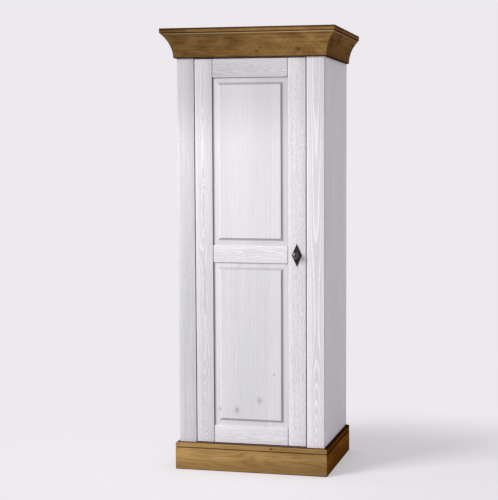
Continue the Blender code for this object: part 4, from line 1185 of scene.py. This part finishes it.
class CUPBOARD_OT_inner_finishes(bpy.types.Operator):
    """Give the boards and fittings that keep their frame shape their finishes"""

    bl_idname = "cupboard.inner_finishes"
    bl_label = "Inner finishes"

    def execute(self, context):
        turns = {"face_rail": LEVEL_FRONT, "back_board": UPRIGHT_FRONT, "rear_rail": LEVEL_FRONT,
                 "shelf_cleat": LEVEL_RIGHT, "shelf": FLAT_ACROSS, "top_board": FLAT_ACROSS,
                 "bottom_board": FLAT_ACROSS, "hinge_batten": UPRIGHT_RIGHT}
        for name, node in frame["nodes"].items():
            if node.hide_render:
                continue
            turn = next((way for start, way in turns.items() if name.startswith(start)), None)
            slot = SLOT_OF[name]
            if slot == "white_glaze":
                dress(node, glazed_pine(name, turn, self.joint(name)))
            elif slot == "bare_pine":
                dress(node, bare_pine(name, turn))
            else:
                dress(node, shared(white_plastic if slot == "white_plastic" else bright_steel))
        return {"FINISHED"}

    @staticmethod
    def joint(name):
        """The painted shade in the gap or joint beside an inner board, if it has one."""
        low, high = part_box(name)
        if name == "face_rail_bottom":
            return dusty(0.0025, 0.95, behind=0.0005, top=high.z)
        if name.startswith("back_board"):
            return dusty(0.0030, 0.6, left=low.x, right=high.x)


# Studio


def seen_rays(tree):
    """1 for the rays that show a surface itself or mirror it, and 0 for those that only carry its light."""
    path = tree.add("ShaderNodeLightPath").outputs
    return tree.math("MAXIMUM", path["Is Camera Ray"],
                     tree.math("MAXIMUM", path["Is Glossy Ray"], path["Is Transmission Ray"]))


class CUPBOARD_OT_studio(bpy.types.Operator):
    """Set up the pale floor, the soft light and the camera"""

    bl_idname = "cupboard.studio"
    bl_label = "Studio"

    def execute(self, context):
        self.floor()
        self.walls(context.scene)
        self.lamps()
        self.camera(context.scene)
        context.scene.view_settings.view_transform = "Standard"
        return {"FINISHED"}

    @staticmethod
    def floor():
        """A wide floor: it takes the cupboard's shadow near it and fades into the backdrop further away."""
        shadow_middle, shadow_shape, near_end, far_start = (0.35, -0.05, 0.0), (1.0, 1.5, 1.0), 0.65, 2.0
        near_glow = 0.391
        select_only()
        bpy.ops.mesh.primitive_plane_add(size=80, location=(0, 0, 0))
        floor = settle("studio_floor")
        look = Look("studio_floor")
        look.tree.nodes.remove(look.shader)
        away = look.vector("MULTIPLY", look.vector("SUBTRACT", look.coordinates, shadow_middle), shadow_shape)
        far = look.span(look.length(away), near_end, far_start)
        seen = seen_rays(look)
        paper = look.add("ShaderNodeBsdfDiffuse", {"Color": colours().paper}).outputs[0]
        lift, glow = (
            look.add("ShaderNodeEmission", {"Color": colours().backdrop, "Strength": strength}).outputs[0]
            for strength in (look.times(seen, near_glow), 1.0))
        near = look.add("ShaderNodeAddShader", {0: paper, 1: lift}).outputs[0]
        both = look.add("ShaderNodeMixShader", {0: look.times(far, seen), 1: near, 2: glow}).outputs[0]
        look.feed(look.tree.nodes["Material Output"].inputs["Surface"], both)
        dress(floor, look.material)

    @staticmethod
    def walls(scene):
        """Even light from all round, seen by the camera and in reflections as the pale backdrop."""
        world = bpy.data.worlds.new("studio")
        world.use_nodes = True
        scene.world = world
        tree = Tree(world.node_tree)
        background = world.node_tree.nodes["Background"].inputs
        tree.feed(background["Color"], colours().backdrop)
        room = stage_settings().room_light
        tree.feed(background["Strength"], tree.plus(tree.times(seen_rays(tree), 1.0 - room), room))

    @staticmethod
    def lamps():
        """A large softbox far to the front left, and a soft spot lamp on the door's upper part."""
        stage = stage_settings()

        def hang(name, kind, place, aim, power, **shape):
            turn = (Vector(aim) - Vector(place)).to_track_quat("-Z", "Y").to_euler()
            bpy.ops.object.light_add(type=kind, location=place, rotation=turn)
            lamp = bpy.context.active_object
            lamp.name = name
            for setting, value in {"energy": power, **shape}.items():
                setattr(lamp.data, setting, value)

        hang("key_softbox", "AREA", stage.key_place, stage.key_aim, stage.key_power, size=stage.key_size)
        hang("pool_spot", "SPOT", stage.spot_place, stage.spot_aim, stage.spot_power,
             spot_size=stage.spot_angle, spot_blend=1.0, shadow_soft_size=stage.spot_size)

    @staticmethod
    def camera(scene):
        """A long lens at the photograph's place, a little right of the cupboard and above its middle."""
        stage = stage_settings()
        bpy.ops.object.camera_add(location=stage.camera_place, rotation=stage.camera_turn)
        camera = bpy.context.active_object
        camera.name = "front_camera"
        camera.data.sensor_width = 36
        camera.data.lens = stage.camera_lens
        camera.data.shift_x = stage.camera_shift
        scene.camera = camera


class CUPBOARD_PT_panel(bpy.types.Panel):
    """Lists the cupboard's pieces, sizes and colours"""

    bl_label = "Cupboard"
    bl_idname = "CUPBOARD_PT_panel"
    bl_space_type = "VIEW_3D"
    bl_region_type = "UI"
    bl_category = "Cupboard"

    def draw(self, context):
        for settings in (sizes(), colours(), stage_settings()):
            box = self.layout.box()
            for name in settings.__annotations__:
                box.prop(settings, name)
        for operator in OPERATORS:
            self.layout.operator(operator.bl_idname)


SETTINGS = {"cupboard_sizes": CupboardSizes, "cupboard_colours": CupboardColours,
            "cupboard_stage": CupboardStage}
OPERATORS = (CUPBOARD_OT_face_frame, CUPBOARD_OT_side_panels, CUPBOARD_OT_mouldings, CUPBOARD_OT_door_frame,
             CUPBOARD_OT_door_panels, CUPBOARD_OT_knob, CUPBOARD_OT_screws, CUPBOARD_OT_inner_finishes,
             CUPBOARD_OT_studio)
CLASSES = (*SETTINGS.values(), *OPERATORS, CUPBOARD_PT_panel)


def register():
    for kind in CLASSES:
        bpy.utils.register_class(kind)
    for name, group in SETTINGS.items():
        setattr(bpy.types.Scene, name, bpy.props.PointerProperty(type=group))


def unregister():
    for name in SETTINGS:
        delattr(bpy.types.Scene, name)
    for kind in reversed(CLASSES):
        bpy.utils.unregister_class(kind)


def main():
    register()
    bpy.ops.cupboard.face_frame()
    bpy.ops.cupboard.side_panels()
    bpy.ops.cupboard.mouldings()
    bpy.ops.cupboard.door_frame()
    bpy.ops.cupboard.door_panels()
    bpy.ops.cupboard.knob()
    bpy.ops.cupboard.screws()
    bpy.ops.cupboard.inner_finishes()
    bpy.ops.cupboard.studio()


if __name__ == "__main__":
    main()
